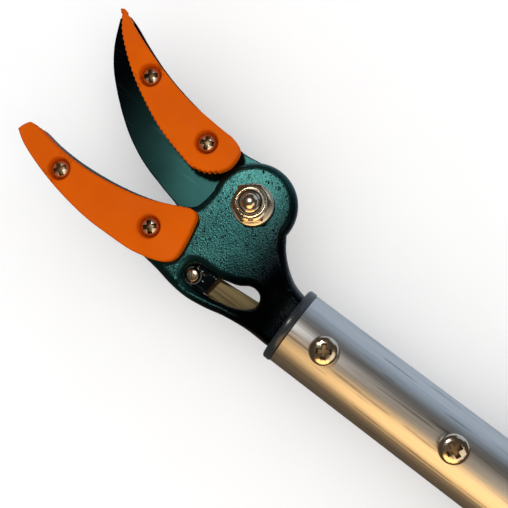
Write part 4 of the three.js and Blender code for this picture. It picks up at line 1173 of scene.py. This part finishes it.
(x0, x1), c = INLAY_X, INLAY_CORNER
corners = [
    (x0 + c, c - INLAY_HALF_WIDTH, 180), (x1 - c, c - INLAY_HALF_WIDTH, 270),
    (x1 - c, INLAY_HALF_WIDTH - c, 0), (x0 + c, INLAY_HALF_WIDTH - c, 90),
]
inlay = plate(
    [outline(*[arc(x, y, c, start, start + 90) for x, y, start in corners])], 19.0, INLAY_TOP, 0.0, 0.8,
    origin=ORIGIN,
)
grooves = [x0 + 7 + GROOVE_PITCH * k for k in range(12)]
cut_rows(
    inlay, "X",
    [(g + side) * MM for g in grooves for side in (-2 * GROOVE_HALF, -GROOVE_HALF, GROOVE_HALF, 2 * GROOVE_HALF)],
)
cut_rows(inlay, "Y", [y * MM for y in (-GROOVE_REACH - 0.8, -GROOVE_REACH, GROOVE_REACH, GROOVE_REACH + 0.8)])
for v in inlay.verts:
    x, y, z = v.co / MM
    if z > INLAY_TOP - 0.1 and abs(y) < GROOVE_REACH + 0.01 and min(abs(x - g) for g in grooves) < GROOVE_HALF + 0.01:
        v.co.z -= GROOVE_DEPTH * MM
piece("grip_inlay", inlay, "soft_grip", "handle", sharp=50)

# %% Pressed washer on the trigger's pin
low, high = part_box("trigger_pin")
PIN_END = Vector(((low.x + high.x) / 2, (low.y + high.y) / 2, 0))
cap = [(3.3, 19.3), (6.0, 19.3), (6.0, 19.8), (5.7, 20.1), (4.3, 20.3), (3.5, 20.1), (3.3, 19.8), (3.3, 19.3)]
piece("pin_washer", spun(cap, PIN_END, steps=48), "steel", "handle", sharp=50)

# %% [markdown]
# The return spring is the one part that has to change its shape: the shuttle slides towards its
# seat and shortens it. A copy of the CAD spring is merged and given a mesh of its own.
# %% A copy of the spring
low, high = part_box("return_spring")
spring = bmesh.new()
spring.from_mesh(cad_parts["return_spring"].data)
bmesh.ops.remove_doubles(spring, verts=spring.verts[:], dist=MERGE_DISTANCE)
coil = piece("squeezed_spring", spring, "spring_steel", "handle", ["return_spring"], sharp=50)
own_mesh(coil)

# %% [markdown]
# ## Parts that stay as the CAD made them
# The pins, the clutch's spring and the sliding parts inside the tubes hardly show. Their shapes are right, so they
# keep their own meshes and only get a finish.
# %% Finishes for the inner parts
KEPT = {
    "steel": [
        "lock_lever_pin", "trigger_pin", "latch_pin", "spring_seat_pin", "inner_pull_rod", "rod_clevis",
        "clevis_pin", "clutch_housing", "clutch_plate", "shuttle_pin", "shuttle_roll_pin",
    ],
    "spring_steel": ["clutch_spring"],
    "aluminium": ["outer_pull_tube"],
    "black_plastic": ["spring_seat", "shuttle"],
}
for key, names in KEPT.items():
    for name in names:
        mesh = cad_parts[name].data
        mesh.materials.clear()
        mesh.materials.append(finishes[key])
print("CAD parts kept:", sum(map(len, KEPT.values())))


# %% [markdown]
# ## Floor
# The tool lies on its back on a pale sheet at the height of the CAD model's lowest point. The camera
# sees the sheet pale, with a faint glow of its own; all other rays see it darker, with a painted
# reflection: warm on the +Y side and cool on the -Y side, which the tube mirrors as gold and blue.
# %% Pale sheet
def paper():
    f = Finish("pale_sheet", specular=0.2)
    mottle = f.group("grain", "Mottle", Scale=400.0, Coarse=0.5)
    seen = node(f.tree, "ShaderNodeLightPath").outputs["Is Camera Ray"]
    f.tree.links.new(f.mix(seen, (0, 0, 0), (1, 1, 1)), f.shader.inputs["Emission Color"])
    f.shader.inputs["Emission Strength"].default_value = 0.12
    pale = f.mix(mottle, (0.88, 0.88, 0.88), (0.91, 0.91, 0.91))
    # Painted reflection: other rays see a dark warm tone on the +Y side and a lighter cool one on the -Y side.
    side = f.along("Y", 0.03, -0.03)
    painted_reflection = f.mix(side, (0.10, 0.075, 0.05), (0.62, 0.72, 0.84))
    return f.done(f.mix(seen, painted_reflection, pale), f.between(mottle, 0.8, 0.9))


sheet = bmesh.new()
bmesh.ops.create_grid(
    sheet, x_segments=4, y_segments=4, size=3.0, matrix=Matrix.Translation((MOUTH.x / 2, 0, FLOOR_Z)),
)
floor_mesh = bpy.data.meshes.new("pale_sheet")
sheet.to_mesh(floor_mesh)
sheet.free()
floor_mesh.materials.append(paper())
floor = bpy.data.objects.new("pale_sheet", floor_mesh)
scene.collection.objects.link(floor)

# %% [markdown]
# The warm lamp is there for the bare metal. On the dark paint it would lay a green rim round every
# edge, so light linking leaves the two painted pieces out of it.
# %% Paint left out of the warm lamp
unlit = bpy.data.collections.new("painted_pieces")
for name in ("painted_head", "painted_blade"):
    unlit.objects.link(bpy.data.objects[name])
warm_lamp.light_linking.receiver_collection = unlit
for entry in unlit.collection_objects:
    entry.light_linking.link_state = "EXCLUDE"
